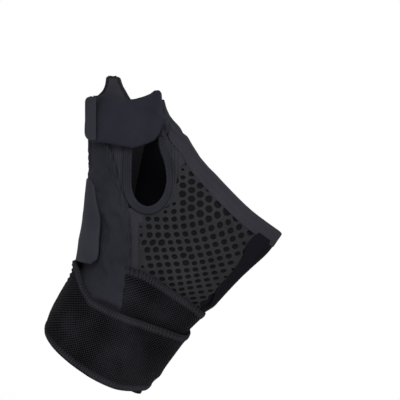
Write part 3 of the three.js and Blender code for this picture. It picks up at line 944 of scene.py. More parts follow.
side = settle(finer_both(side_coarse, 4, 4))
side = side[seen_below(side, UNDER_STRAP_PX)]
side_px = pixel_of(side)
px, py = np.moveaxis(side_px, -1, 0)
waver = GATHER_WAVER * np.sin(py * GATHER_WAVER_RATE)
upright = GATHER_RELIEF * np.sin(px * 2 * math.pi / GATHER_PITCH_PX + waver)
slanting = CREASE_RELIEF * np.sin((px - CREASE_SLANT * py) * 2 * math.pi / CREASE_PITCH_PX)
gathers = round_about(side_px, GATHER_PX, GATHER_REACH_PX) * upright
gathers = gathers + round_about(side_px, CREASE_PX, CREASE_REACH_PX) * slanting
side_high = GLOVE_THICKNESS + (side[..., 1] < FACES_FRONT) * gathers
glove_panel("thumb_side_panel_cloth", side, side_high, jersey, "thumb_side_panel")

back = settle(finer_both(back_coarse, 3, 3))
# The back panel's dark knit is painted shade.
glove_panel("back_panel_cloth", back, GLOVE_THICKNESS, back_cloth_painted_shade, "back_panel")

# %% [markdown]
# ## The back panel's lap
#
# At the little-finger edge the smooth back cloth comes round to the palm side and is sewn
# over the air mesh. Seen from the palm side it is a dark strip. Its tone, far darker than the
# same smooth knit on the thumb side, is painted shade. It is its own thin layer here, because
# the seam between the two solid panels runs further out, on the very edge.

# %% The lap over the palm
LAP_EDGE_PX = (
    (262, 227), (254, 236), (246, 245), (241, 257), (233, 268), (224, 278), (214, 288), (209, 298),
    (204, 307), (200, 314),
)
LAP_THICKNESS, LAP_GAP, LAP_SUNK = 0.5, 0.05, 0.2
LAP_SLANT = 3.0
lap_starts = settle(seen_at(LAP_EDGE_PX, GLOVE_THICKNESS))
lap_rows = [[start, on_seam((start[2] - LAP_SLANT) / LENGTH)] for start in lap_starts]
lap_coarse = panel_grid(lap_rows, 2, 6)
lap = settle(finer_both(lap_coarse, 3, 3))
lap_high = GLOVE_THICKNESS + LAP_GAP + LAP_THICKNESS
lap_low = GLOVE_THICKNESS - LAP_SUNK
lap_piece = cloth_body("back_panel_lap", lap, lift(lap, lap_high), lift(lap, lap_low))
# The lap's dark knit is painted shade.
finish_piece(lap_piece, back_cloth_painted_shade)

# Under the window the side panel and the palm panel meet on a small gusset.
GUSSET_PX = [[(x, y) for x in (122, 127, 132, 138, 144)] for y in (208, 211, 214, 218, 222)]
GUSSET_TOP, GUSSET_FOOT, GUSSET_RIM = GLOVE_THICKNESS - 0.1, 0.2, 0.3
gusset = settle(finer_both(settle(seen_at(GUSSET_PX)), 3, 3))
gusset_piece = cloth_body(
    "window_gusset", gusset, lift(gusset, GUSSET_TOP), lift(gusset, GUSSET_FOOT), GUSSET_RIM
)
finish_piece(gusset_piece, jersey)

# %% [markdown]
# ## The net
#
# A spacer mesh is knitted with open cells, six-sided where it is pulled evenly. Modelling
# each hole would be endless, and a texture would be flat. Here a lattice of points, one for
# each hole, is joined into triangles, and Geometry Nodes turn it inside out: the dual of
# a triangle lattice is a honeycomb. Each cell is then set in, pushed down and opened.

# %% Rows of holes, read on the photograph
NET_COLUMNS_PX = (145, 163, 181, 199, 217, 235, 253)
NET_ROWS_PX = [
    # row; its height in the picture at each column
    (-7, 159, 160, 155, 146, 133, 120, 107),
    (-3, 189, 190, 186, 178, 166, 154, 142),
    (-1, 204, 205, 203, 195, 184, 173, 162),
    (1, 218.5, 219.5, 218.5, 214, 204.5, 195.5, 186),
    (3, 235, 235, 234.5, 232.5, 226.5, 219.5, 210.5),
    (5, 250.5, 250, 249, 248, 244.5, 238.5, 231),
    (7, 267, 265, 264, 263, 259.5, 254.5, 247),
    (9, 280.5, 279.5, 278, 275.5, 272, 267, 260),
    (11, 293, 292, 290, 286.5, 282.5, 277, 270.5),
    (13, 305, 303.5, 301, 296.5, 292, 286, 279.5),
    (16, 321.5, 319.5, 316.5, 310.5, 305.5, 299.5, 292.5),
]
ROW_SHIFTS_PX = [(-4, 0), (1, 0), (2, 1), (3, 2.4), (5, 6.8), (7, 11.4), (9, 14), (16, 22)]
HOLE_PITCH_PX = 8.65
FIRST_HOLE_PX = 148.2
ROWS, HOLES = range(-7, 17), np.arange(-6, 18)
ON_FORM_WITHIN = 0.6  # millimetres
LATTICE_EDGE_PX, PROUD_EDGE_PX = -14, -7
NET_PROUD, NET_SUNK = 0.06, 0.15
HOLE_EDGE_PX, HOLE_FADE_PX = 1.5, 7
SMALLEST_OPENING = 0.05
UNEVEN = 1.3  # where one diagonal is this much longer, the shorter one is drawn

lattice_px = []
for row in ROWS:
    line = [float(through(NET_ROWS_PX, c + 1, row)) for c in range(len(NET_COLUMNS_PX))]
    drop = list(zip(NET_COLUMNS_PX, line))
    shift = float(np.interp(row, *zip(*ROW_SHIFTS_PX)))
    across = FIRST_HOLE_PX + shift + HOLE_PITCH_PX * HOLES
    lattice_px.append(np.stack([across, through(drop, 1, across)], -1))
lattice_px = np.array(lattice_px)
lattice = seen_at(lattice_px, GLOVE_THICKNESS)
inside = inside_net(lattice)
kept = (np.abs(height(lattice) - GLOVE_THICKNESS) < ON_FORM_WITHIN) & (inside > LATTICE_EDGE_PX)
opening = ease((inside + HOLE_EDGE_PX) / HOLE_FADE_PX)
print(int((kept & (opening > SMALLEST_OPENING)).sum()), "holes")
proud = np.where(inside > PROUD_EDGE_PX, GLOVE_THICKNESS + NET_PROUD, GLOVE_THICKNESS - NET_SUNK)
lattice = settle(lattice, proud)

numbers = -np.ones(kept.shape, int)
numbers[kept] = np.arange(kept.sum())
lattice_faces = []
for i, j in np.ndindex(len(ROWS) - 1, len(HOLES) - 1):
    here, right, below = numbers[i, j], numbers[i, j + 1], numbers[i + 1, j]
    across = numbers[i + 1, j + 1]
    down = np.linalg.norm(lattice_px[i, j] - lattice_px[i + 1, j + 1])
    up = np.linalg.norm(lattice_px[i, j + 1] - lattice_px[i + 1, j])
    if up > UNEVEN * down:
        cells = [(here, below, across), (here, across, right)]
    elif down > UNEVEN * up:
        cells = [(here, below, right), (below, across, right)]
    else:
        cells = [(here, below, across, right)]
    lattice_faces += [cell for cell in cells if min(cell) >= 0]


# %% The honeycomb tree
FADED_SHARE = 0.35  # of a cell, where there is no hole
NARROWER = 0.86


def start_tree(name, inputs):
    """A Geometry Nodes tree with a geometry and some named values to set."""
    tree = bpy.data.node_groups.new(name, "GeometryNodeTree")
    for label, kind in (("Geometry", "Geometry"), *inputs):
        tree.interface.new_socket(label, in_out="INPUT", socket_type="NodeSocket" + kind)
    tree.interface.new_socket("Geometry", in_out="OUTPUT", socket_type="NodeSocketGeometry")
    return tree, add(tree, "NodeGroupInput").outputs


def end_tree(tree, geometry, material):
    """The last nodes: smooth, real and in its material."""
    soft = add(tree, "GeometryNodeSetShadeSmooth", {"Geometry": geometry})
    real = add(tree, "GeometryNodeRealizeInstances", {"Geometry": soft.outputs[0]})
    inputs = {"Geometry": real.outputs[0], "Material": material}
    done = add(tree, "GeometryNodeSetMaterial", inputs)
    add(tree, "NodeGroupOutput", {0: done.outputs[0]})
    return tree


def honeycomb_tree():
    """Cells from a lattice of triangles, each set in, pushed down and opened."""
    inputs = ("Hole share", "Float"), ("Depth", "Float"), ("Yarn", "Material")
    tree, given = start_tree("honeycomb net", inputs)

    def extruded(mesh, offset, **selection):
        inputs = {"Mesh": mesh, "Offset Scale": offset, "Individual": True, **selection}
        return add(tree, "GeometryNodeExtrudeMesh", inputs, mode="FACES").outputs

    def scaled(geometry, faces, scale):
        inputs = {"Geometry": geometry, "Selection": faces, "Scale": scale}
        return add(tree, "GeometryNodeScaleElements", inputs).outputs[0]

    cells = add(tree, "GeometryNodeDualMesh", {"Mesh": given["Geometry"]})
    named = {"Name": "opening"}
    opening = add(tree, "GeometryNodeInputNamedAttribute", named, data_type="FLOAT").outputs[0]
    set_in = extruded(cells.outputs[0], 0.0)
    share = ranged(tree, opening, to_low=FADED_SHARE, to_high=given["Hole share"])
    inner = scaled(set_in["Mesh"], set_in["Top"], share)
    drop = reckoned(tree, "MULTIPLY", given["Depth"], opening)
    down = reckoned(tree, "MULTIPLY", drop, -1.0)
    pushed = extruded(inner, down, Selection=set_in["Top"])
    narrower = scaled(pushed["Mesh"], pushed["Top"], NARROWER)
    limits = {0: opening, 1: SMALLEST_OPENING}
    wide = add(tree, "FunctionNodeCompare", limits, operation="GREATER_THAN")
    both = {0: pushed["Top"], 1: wide.outputs[0]}
    floor_of_hole = add(tree, "FunctionNodeBooleanMath", both, operation="AND")
    inputs = {"Geometry": narrower, "Selection": floor_of_hole.outputs[0]}
    opened = add(tree, "GeometryNodeDeleteGeometry", inputs, domain="FACE")
    inputs = {"Mesh": opened.outputs[0], "Level": 1}
    rounded = add(tree, "GeometryNodeSubdivisionSurface", inputs)
    return end_tree(tree, rounded.outputs[0], given["Yarn"])


def apply_nodes(source, tree, values, name):
    """Runs a tree on an object with its inputs set, and keeps the result as a plain mesh."""
    modifier = source.modifiers.new("nodes", "NODES")
    modifier.node_group = tree
    for item in tree.interface.items_tree:
        if item.item_type == "SOCKET" and item.in_out == "INPUT" and item.name in values:
            modifier[item.identifier] = values[item.name]
    evaluated = source.evaluated_get(bpy.context.evaluated_depsgraph_get())
    mesh = bpy.data.meshes.new_from_object(evaluated)
    mesh.name = name
    made = in_scene(name, mesh)
    source.modifiers.clear()
    bpy.data.objects.remove(source)
    return made


def keep_values(piece, name, values):
    """A number for each point of a mesh, under a name that nodes can read."""
    attribute = piece.data.attributes.new(name, "FLOAT", "POINT")
    attribute.data.foreach_set("value", values.astype(np.float32))


NET_SETTINGS = {"Hole share": 0.8, "Depth": 1.0 * MM, "Yarn": net_knit}
net_source = mesh_object("net_lattice", lattice[kept], lattice_faces)
keep_values(net_source, "opening", opening[kept])
net_piece = apply_nodes(net_source, honeycomb_tree(), NET_SETTINGS, "air_mesh_net")
finish_piece(net_piece, net_knit)

# %% [markdown]
# ## The padded column
#
# The sleeve on the thumb side is made for a flat stay. Only its padding shows: a soft
# ridge, thin at its two seams. Its cloth is puffed by a short cloth simulation, which gives
# the small uneven swells that a formula doesn't.

# %% The column's cloth, puffed and then laid back on the form
COLUMN_EDGE, COLUMN_RISE = 1.3, 1.2
COLUMN_FULLNESS = 0.7  # a lower power swells nearer to the seams
COLUMN_END_ROWS = 3
COLUMN_TOP_PX = 106  # the strap hides what is higher
SEWN_DOWN = ON_GLOVE - GAP
COLUMN_ROWS = [
    # station, angle of the front edge, angle of the back edge
    [0.6, -97, 30],
    [1.4, -98, 36],
    [2.2, -99, 42],
    [2.8, -100.5, 46],
    [3.5, -100.5, 50],
    [4.2, -98.5, 54],
    [4.8, -92, 57],
    [5.2, -82, 59],
    [5.6, -74.5, 60],
    [5.95, -67.5, 61],
    [6.4, -56, 62],
    [6.9, -50.5, 62],
    [7.4, -49, 60],
    [7.8, -45, 54],
    [8.05, -36, 40],
]
column_rows = [row_round(*row) for row in COLUMN_ROWS]
column_coarse = panel_grid(column_rows, 2, 8)
swell = np.sin(np.pi * np.linspace(0, 1, column_coarse.shape[1])) ** COLUMN_FULLNESS
rows = np.arange(len(column_coarse))
ends = np.clip(np.minimum(rows, rows[::-1]) / COLUMN_END_ROWS, 0, 1)
column_tops = ON_GLOVE + COLUMN_EDGE + COLUMN_RISE * swell * ends[:, None]
lay_down(column_coarse, column_tops, "column")

column = settle(finer_both(column_coarse, 4, 6))
column_high = finer_both(column_tops, 4, 6)
shown = seen_below(column, COLUMN_TOP_PX)
column, column_high = column[shown], column_high[shown]

PUFF_FRAMES = 20
PUFF_PRESSURE, PUFF_MOST = 4, 0.9
PUFF_SPREAD = 2  # every second point is simulated
PUFF_FULLER = -0.05  # the cloth is cut this share too large


def puffed(grid, level):
    """How much higher a cloth simulation, held at the borders, lifts each point."""
    part, level = grid[::PUFF_SPREAD, ::PUFF_SPREAD], level[::PUFF_SPREAD, ::PUFF_SPREAD]
    rows, columns = part.shape[:2]
    index = np.arange(rows * columns).reshape(rows, columns)
    test = mesh_object("puff", lift(part, level).reshape(-1, 3), quads_of(index).tolist())
    facing = sum((f.normal for f in test.data.polygons), Vector())
    outward = unit(rise(part)).mean((0, 1))
    if facing.dot(Vector(outward)) < 0:
        test.data.flip_normals()
    border = sorted({*index[0], *index[-1], *index[:, 0], *index[:, -1]})
    test.vertex_groups.new(name="held").add([int(k) for k in border], 1.0, "REPLACE")
    cloth = test.modifiers.new("cloth", "CLOTH")
    cloth.settings.vertex_group_mass = "held"
    cloth.settings.use_pressure = True
    cloth.settings.uniform_pressure_force = PUFF_PRESSURE
    cloth.settings.shrink_min = PUFF_FULLER
    cloth.settings.effector_weights.gravity = 0
    cloth.point_cache.frame_end = PUFF_FRAMES
    scene = bpy.context.scene
    for frame_number in range(1, PUFF_FRAMES + 1):
        scene.frame_set(frame_number)
    puffed_mesh = test.evaluated_get(bpy.context.evaluated_depsgraph_get()).to_mesh()
    places = np.empty(rows * columns * 3, np.float32)
    puffed_mesh.vertices.foreach_get("co", places)
    lifted = height(places.reshape(rows, columns, 3) / MM) - level
    bpy.data.objects.remove(test)
    scene.frame_set(1)
    return np.clip(lifted, -PUFF_MOST, PUFF_MOST)


column_puff = np.zeros(column.shape[:2])
puff = finer_both(puffed(column, column_high), PUFF_SPREAD, PUFF_SPREAD)
column_puff[: puff.shape[0], : puff.shape[1]] = puff
print("the simulation lifts the column by", round(float(puff.max()), 2), "mm at most")
column_face = lift(column, column_high + column_puff)
column_piece = cloth_body("stay_column_sleeve", column, column_face, lift(column, SEWN_DOWN))
finish_piece(column_piece, padded_jersey, "stay_column")

# %% [markdown]
# ## Hem and binding
#
# The two openings are finished with bands sewn over the edge of the cloth: a wide hem
# round the opening for the fingers, and a narrow tape round the thumb window and over the
# tongue. A band follows one line, so a table of that line's points is all it needs.

# %% Bands that follow a line on the form
HEM_GRID_WIDTH, HEM_THICKNESS = 8, 1.3
HEM_NARROW = 0.6  # below this share of its width the hem is drawn half as wide
HEM_LOWERED = 0.95
HEM_TOP_PX = [
    (176, 123), (179.5, 126.5), (185.5, 135.5), (191, 145.5), (199, 158), (208, 168.5), (219, 179),
]
HEM_PROFILE = (0.3, 0.5, 0.6, 0.7, 0.9, 1.3, 1.5)  # millimetres over the glove
BINDING_GRID_WIDTH, BINDING_THICKNESS = 3.6, 1.2
BINDING_PROFILE = (0.1, 0.3, 0.55, 0.8, 1.0)
TONGUE_BINDING = 0.5  # its share of the binding's width
HEM_PATH = [
    # across, front to back, along; width
    [-0.51, -0.16, 0.97, 0.46],
    [-0.51, -0.26, 0.955, 0.5],
    [-0.46, -0.29, 0.935, 0.8],
    [-0.315, -0.36, 0.91, 1],
    [-0.15, -0.43, 0.87, 1],
    [0.05, -0.45, 0.84, 1],
    [0.285, -0.42, 0.815, 1],
    [0.45, -0.32, 0.81, 1],
    [0.55, 0, 0.81, 1],
    [0.5, 0.2, 0.81, 1],
    [0.34, 0.34, 0.815, 1],
    [0.115, 0.39, 0.835, 1],
    [-0.115, 0.39, 0.87, 1],
    [-0.305, 0.33, 0.9, 1],
    [-0.445, 0.21, 0.925, 0.85],
    [-0.515, -0.02, 0.97, 0.5],
]
WINDOW_PATH = [
    # across, front to back, along
    [-0.46, -0.48, 0.885],
    [-0.43, -0.48, 0.86],
    [-0.35, -0.45, 0.825],
    [-0.265, -0.47, 0.775],
    [-0.22, -0.53, 0.72],
    [-0.22, -0.6, 0.67],
    [-0.26, -0.67, 0.635],
    [-0.32, -0.72, 0.625],
    [-0.385, -0.74, 0.635],
    [-0.44, -0.76, 0.66],
    [-0.485, -0.77, 0.695],
    [-0.54, -0.78, 0.745],
    [-0.58, -0.78, 0.785],
    [-0.625, -0.78, 0.825],
    [-0.675, -0.78, 0.87],
    [-0.745, -0.77, 0.91],
    [-0.815, -0.74, 0.935],
    [-0.875, -0.7, 0.95],
]
TONGUE_PATH = [
    # station, angle
    [8.31, -48],
    [8.34, -10],
    [8.32, 40],
    [8.2, 74],
    [7.95, 92],
    [7.6, 106],
    [7.3, 118],
]


def lowered(face, line_px):
    """Draws down what is seen above a line in the photograph, nearly to that line."""
    px = pixel_of(face)
    above = np.maximum(np.interp(px[..., 0], *zip(*line_px)) - px[..., 1], 0)
    return moved(face, above * HEM_LOWERED, -UP)


def sewn_band(name, coarse, profile, steps, material, node, closed=False):
    """A band whose profile gives its height over the glove at even steps across it."""
    fine = settle(finer_both(coarse, *steps, closed))
    if not closed:
        fine = fine[seen_below(fine, UNDER_STRAP_PX)]
    across = np.linspace(0, 1, fine.shape[1])
    high = GLOVE_THICKNESS + np.interp(across, np.linspace(0, 1, len(profile)), profile)
    faces = upper, lower = lift(fine, high), lift(fine, SEWN_DOWN)
    if closed:
        faces = lowered(upper, HEM_TOP_PX), lowered(lower, HEM_TOP_PX)
    piece = cloth_body(name, fine, *faces, closed=closed)
    finish_piece(piece, material, node)
    return upper, piece


# At the web the band turns tightly, so it is drawn narrow there, and the cloth in front of
# it covers it.
hem_widths = [row[3] if row[3] > HEM_NARROW else row[3] / 2 for row in HEM_PATH]
hem_coarse = band_grid([at(row) for row in HEM_PATH], hem_widths, 3, HEM_GRID_WIDTH, 4, True)
lay_down(hem_coarse, np.full(hem_coarse.shape[:2], ON_GLOVE + HEM_THICKNESS), "hem")
hem, hem_piece = sewn_band(
    "hand_opening_hem_band", hem_coarse, HEM_PROFILE, (6, 3), jersey, "hand_opening_hem", True
)
binding_points = [at(row) for row in WINDOW_PATH] + [from_spine(*row) for row in TONGUE_PATH]
binding_widths = [1] * len(WINDOW_PATH) + [TONGUE_BINDING] * len(TONGUE_PATH)
binding_coarse = band_grid(binding_points, binding_widths, 2, BINDING_GRID_WIDTH, 4)
binding_tops = np.full(binding_coarse.shape[:2], ON_GLOVE + BINDING_THICKNESS)
lay_down(binding_coarse, binding_tops, "binding")
binding, binding_piece = sewn_band(
    "thumb_opening_tape", binding_coarse, BINDING_PROFILE, (5, 3), padded_jersey,
    "thumb_opening_binding",
)

# %% [markdown]
# ## The tab and the thumb strap
#
# Both are loop fabric backed with foam. The tab comes round from the back and lies over the
# column, and its free edge stands proud. The thumb strap goes over the column, round the
# front of the thumb branch and back behind it, narrow where it passes the web.

# %% The tab
TAB_THICKNESS = 1.6
TAB_MIDDLE_ANGLE = -8
TAB_INSET = 0.7
TAB_ROWS = [
    # front edge: station, angle; station of the middle; back edge: station, angle
    [3.36, -52, 3.2, 3.1, 66],
    [3.5, -58.5, 3.38, 3.3, 70],
    [3.8, -59.5, 3.72, 3.68, 71],
    [4.1, -58.5, 4.07, 4.05, 72],
    [4.6, -57.5, 4.58, 4.55, 74],
    [5, -50, 5, 5, 76],
    [5.3, -43.5, 5.34, 5.36, 77],
    [5.42, -36, 5.46, 5.5, 74],
]
tab_rows = []
for station, angle, middle, end, end_angle in TAB_ROWS:
    places = (station, angle), (middle, TAB_MIDDLE_ANGLE), (end, end_angle)
    tab_rows.append([from_spine(*place) for place in places])
tab_coarse = panel_grid(tab_rows, 2, 9, TAB_INSET)


def everything(name, row, own_row):
    """A band that lies over all that has been laid."""
    return np.full(np.broadcast_shapes(row.shape, own_row.shape), True)


# The tab is stiffer than the cloth under it and leans out at the thumb side, in pixels at
# heights in the picture.
TAB_LEAN_PX = [(176, -1.5), (190, 0), (215, 3.2), (240, 4.2), (262, 2.5), (276, 0)]
TAB_STAYS_PX, TAB_FADE_PX = 104, 14


def leaned_out(face):
    """Moves the side of the tab outwards, and leaves its sewn edge and its free edge."""
    px = pixel_of(face)
    out = np.interp(px[..., 1], *zip(*TAB_LEAN_PX))
    return moved(face, out * ease((TAB_STAYS_PX - px[..., 0]) / TAB_FADE_PX), -RIGHT)


tab_low = rest_heights(tab_coarse, ON_GLOVE, everything)
lay_down(tab_coarse, tab_low + TAB_THICKNESS, "tab")
tab = settle(finer_both(tab_coarse, 4, 3))
tab_under = finer_both(tab_low, 4, 3)
tab_face = leaned_out(lift(tab, tab_under + TAB_THICKNESS))
tab_piece = cloth_body("closure_tab_flap", tab, tab_face, leaned_out(lift(tab, tab_under)))
finish_piece(tab_piece, loops, "closure_tab")

# %% The thumb strap
THUMB_STRAP_GRID_WIDTH, THUMB_STRAP_THICKNESS, THUMB_STRAP_LIFT = 21, 2, 2
THUMB_STRAP_PATH = [
    # angle about the thumb, along the thumb; width
    [-2, 0.956, 0.93],
    [-20, 0.953, 0.95],
    [-45, 0.946, 0.97],
    [-72, 0.933, 0.96],
    [-98, 0.924, 0.95],
    [-120, 0.939, 1],
    [-140, 0.961, 1],
    [-156, 0.99, 0.78],
    [-170, 1.017, 0.52],
    [-184, 1.027, 0.44],
    [-200, 1.024, 0.48],
    [-218, 1.019, 0.5],
    [-236, 1.001, 0.66],
    [-256, 0.979, 0.84],
    [-280, 0.96, 0.96],
    [-305, 0.959, 0.96],
    [-322, 0.959, 0.95],
]


def under_thumb_strap(name, row, own_row):
    """The thumb strap goes over what is sewn to the thumb branch."""
    return everything(name, row, own_row) & (name in ("side", "column", "binding"))


thumb_coarse = band_grid(
    [on_thumb(angle, share) for angle, share, _ in THUMB_STRAP_PATH],
    [row[2] for row in THUMB_STRAP_PATH], 3, THUMB_STRAP_GRID_WIDTH, 8, alone=True,
)
thumb_low = rest_heights(thumb_coarse, THUMB_STRAP_LIFT, under_thumb_strap, alone=True)
thumb = settle(finer_both(thumb_coarse, 4, 4), thumb_alone=True)
thumb_under = finer_both(thumb_low, 4, 4)
thumb_face = lift(thumb, thumb_under + THUMB_STRAP_THICKNESS, True)
thumb_inner = lift(thumb, thumb_under, True)

# The strap's upper and lower edge, as the photograph shows them from the palm side.
STRAP_TOP_PX = np.array([
    (85, 102), (86.5, 99), (89, 97.2), (97.5, 96.3), (110, 98), (120, 99.6), (131.8, 101.4),
    (141.7, 98.6), (147, 97), (152.9, 94.6), (156.8, 91.6), (160, 91.6), (162, 94), (166, 106),
])
STRAP_FOOT_PX = np.array([
    (85, 133.5), (86.5, 137.3), (89, 139.6), (100, 140.5), (110, 142), (120, 144), (133, 146),
    (140, 144), (148, 141.5), (155, 138.6), (159, 133), (162, 126), (166, 119),
])
TRIM_FRONT, TRIM_FADE = -4, 8  # millimetres


def trimmed(face):
    """Moves the strap's two edges, where they face the palm side, to those lines."""
    px = pixel_of(thumb_face)
    top, foot = px[:, 0], px[:, -1]
    share = np.linspace(0, 1, face.shape[1])
    if top[:, 1].mean() > foot[:, 1].mean():
        top, foot, share = foot, top, share[::-1]
    top_move = np.interp(top[:, 0], *STRAP_TOP_PX.T) - top[:, 1]
    foot_move = np.interp(foot[:, 0], *STRAP_FOOT_PX.T) - foot[:, 1]
    move = (1 - share) * top_move[:, None] + share * foot_move[:, None]
    move = move * ease((TRIM_FRONT - thumb_face[..., 1]) / TRIM_FADE)
    return moved(face, move, -UP)


thumb_piece = cloth_body("thumb_strap_band", thumb, trimmed(thumb_face), trimmed(thumb_inner))
finish_piece(thumb_piece, tricot, "thumb_strap")

# %% Pieces shaped as they are seen: the strap's free end, the tongue and the web
STRAP_END_PX = [
    # height, left edge and right edge in the photograph
    (96.4, 90.5, 94.6), (96.9, 88.4, 95), (98, 86.6, 95), (99.8, 85.6, 95), (103, 85.2, 95),
    (118, 85.2, 95), (134, 85.2, 95), (136.6, 85.9, 95), (138.4, 87.2, 95), (139.4, 89.6, 94.6),
]
TONGUE_PX = [
    (76.2, 108.6, 115), (77, 107.2, 118), (78.6, 106.5, 119.4), (83.2, 105.9, 120.8),
    (87, 104.8, 122.4), (90.2, 103.2, 124.3), (93, 100.8, 125.8), (95.8, 97.8, 127.4),
    (99.3, 95, 129.6), (103, 94, 132), (108, 94, 133), (114, 94, 133),
]
WEB_PX = [
    (100, 160.5, 163.2), (103, 160, 164), (106, 159, 164.8), (109, 157.8, 165.8),
    (112, 157, 167.2), (115, 156.6, 168.6), (120, 156.6, 172.4), (124, 157, 176.2),
    (128, 157.6, 179.4), (133, 158.5, 182),
]


# How far back each piece lies: pixels across and millimetres, and a slope below a height.
END_DEPTHS = (85, 95), (-28.5, -32.6)
TONGUE_DEPTHS = (94, 106, 120, 133), (-23, -27, -30, -31.2)
TONGUE_SLOPE, TONGUE_FOOT_PX = 0.05, 114
WEB_DEPTH, WEB_SLOPE, WEB_BEND_PX = -13.2, 0.25, 118


def end_depth(x, y):
    return np.interp(x, *END_DEPTHS)


def tongue_depth(x, y):
    return np.interp(x, *TONGUE_DEPTHS) + TONGUE_SLOPE * (TONGUE_FOOT_PX - y)


def web_depth(x, y):
    return WEB_DEPTH + WEB_SLOPE * max(WEB_BEND_PX - y, 0)


SEEN_PLACES = 9
SEEN_RIM, SEEN_RIM_FROM, SEEN_RIM_FADE = 0.6, 1.0, 0.8
TOWARDS_BACK = np.array((0.25, 1, 0))


def to_edge(across):
    """How far each point is from the nearer side edge."""
    return np.minimum(across - across[:, :1], across[:, -1:] - across)


def seen_sheet(name, rows, depth, material, thickness, rim):
    """A sheet from its edges in the photograph and a depth in millimetres for each place."""
    grid = []
    for py, left, right in rows:
        places = [(left + (right - left) * share, py) for share in np.linspace(0, 1, SEEN_PLACES)]
        grid.append([at_depth(px, depth(*px)) for px in places])
    face = finer_both(np.array(grid), 4, 3)
    across, along = measures(face)
    edge = np.minimum(to_edge(across), along - along[0])
    raised = rim * (1 - ease((edge - SEEN_RIM_FROM) / SEEN_RIM_FADE))
    face = face - np.array((0, 1, 0)) * raised[..., None]
    piece = cloth_body(name, face, face, face + TOWARDS_BACK * thickness, SEEN_RIM)
    finish_piece(piece, material)
    return piece, edge, face


end_piece, _, end_face = seen_sheet(
    "thumb_strap_end", STRAP_END_PX, end_depth, loops, thickness=1.4, rim=0
)
BOUND_WIDTH = 1.4
tongue_piece, tongue_edge, tongue_face = seen_sheet(
    "thumb_tongue", TONGUE_PX, tongue_depth, jersey, thickness=1.8, rim=0.35
)
second_finish(tongue_piece, tape, tongue_edge < BOUND_WIDTH)
web_piece, _, web_face = seen_sheet(
    "web_of_palm_panel", WEB_PX, web_depth, jersey, thickness=1.6, rim=0.3
)

# %% [markdown]
# ## The wrist strap
#
# One long elastic goes round the wrist twice, and its second pass lies lower and over the
# first. Where it crosses itself, the upper pass rests on the lower one.

# %% Twice round the wrist
WRIST_STRAP_GRID_WIDTH, WRIST_STRAP_THICKNESS = 37.4, 1.8
START_ROWS = 9
OVERLAP_ROWS = 14
WRIST_STRAP_SKEWS = (27, 23, 19, 15, 12, 9, 6, 3)
WRIST_STRAP_PATH = [
    # across, front to back, along; width
    [-0.01, -0.57, 0.277, 1],
    [0.075, -0.57, 0.272, 1],
    [0.17, -0.52, 0.269, 1],
    [0.3, -0.38, 0.276, 1],
    [0.378, -0.1, 0.276, 1],
    [0.357, 0.21, 0.264, 1],
    [0.227, 0.46, 0.247, 1],
    [0, 0.555, 0.226, 1],
    [-0.238, 0.49, 0.2, 0.97],
    [-0.392, 0.23, 0.174, 0.92],
    [-0.405, -0.11, 0.15, 0.84],
    [-0.32, -0.395, 0.131, 0.82],
    [-0.188, -0.527, 0.126, 0.87],
    [0, -0.564, 0.134, 0.96],
    [0.149, -0.527, 0.147, 1],
    [0.3, -0.366, 0.172, 0.97],
    [0.37, -0.07, 0.181, 0.98],
    [0.348, 0.248, 0.19, 1],
    [0.194, 0.497, 0.197, 1],
    [0.026, 0.558, 0.2, 1],
]
wrist_coarse = band_grid(
    [at(row) for row in WRIST_STRAP_PATH], [row[3] for row in WRIST_STRAP_PATH], 4,
    WRIST_STRAP_GRID_WIDTH, 12, skews=WRIST_STRAP_SKEWS,
)

# The upper edge of each pass in the picture, in pixels, and the rows of cloth that lie along
# it: the inner pass runs up under the column, and the outer one is drawn up under the tab.
INNER_TOP_PX = [(128, 267), (143, 272.5), (162, 284), (187, 300), (200, 309)]
INNER_TOP_ROWS = (0, 17)
OUTER_TOP_PX = [(81, 267), (85, 265), (88.5, 268), (90, 277), (91.5, 289), (97, 301)]
OUTER_TOP_ROWS = (40, 47)
EASED_ROWS = 6
DRAW_PASSES = 8
DRAW_SPREAD = 1.3  # a higher power leaves more of the strap's width as it was


def drawn_to(grid, path_px, rows):
    """Moves the upper edge of some rows of the strap onto a line of the picture."""
    first, last = rows
    path = np.array(path_px, float)
    run = np.concatenate([[0], np.cumsum(np.linalg.norm(np.diff(path, axis=0), axis=1))])
    step = np.linspace(0, run[-1], last - first + 1)
    target = np.stack([np.interp(step, run, path[:, k]) for k in (0, 1)], -1)
    top = grid[first : last + 1, -1]
    for _ in range(DRAW_PASSES):
        top = settle(at_depth(target, top[:, 1]))
    shift = np.zeros((len(grid), 3))
    shift[first : last + 1] = top - grid[first : last + 1, -1]
    for k in range(1, EASED_ROWS):
        share = ease(1 - k / EASED_ROWS)
        if first - k >= 0:
            shift[first - k] = shift[first] * share
        shift[last + k] = shift[last] * share
    share = np.linspace(0, 1, grid.shape[1]) ** DRAW_SPREAD
    print("the strap's edge is drawn up by", round(float(np.abs(shift).max()), 1), "mm at most")
    return settle(grid + shift[:, None] * share[:, None])


wrist_coarse = drawn_to(wrist_coarse, INNER_TOP_PX, INNER_TOP_ROWS)
wrist_coarse = drawn_to(wrist_coarse, OUTER_TOP_PX, OUTER_TOP_ROWS)


def under_wrist_strap(name, row, own_row):
    """The strap starts beside the column, and its second pass lies over its first."""
    counts = everything(name, row, own_row)
    if name == "column":
        return counts & (own_row > START_ROWS)
    if name == "wrist strap":
        return counts & (own_row - row > OVERLAP_ROWS)
    return counts


first_pass = wrist_coarse[: round(len(wrist_coarse) / 2) + START_ROWS]
first_low = rest_heights(first_pass, ON_GLOVE, under_wrist_strap)
lay_down(first_pass, first_low + WRIST_STRAP_THICKNESS, "wrist strap")
wrist_low = rest_heights(wrist_coarse, ON_GLOVE, under_wrist_strap)
wrist = settle(finer_both(wrist_coarse, 6, 4))
wrist_under = finer_both(wrist_low, 6, 4)

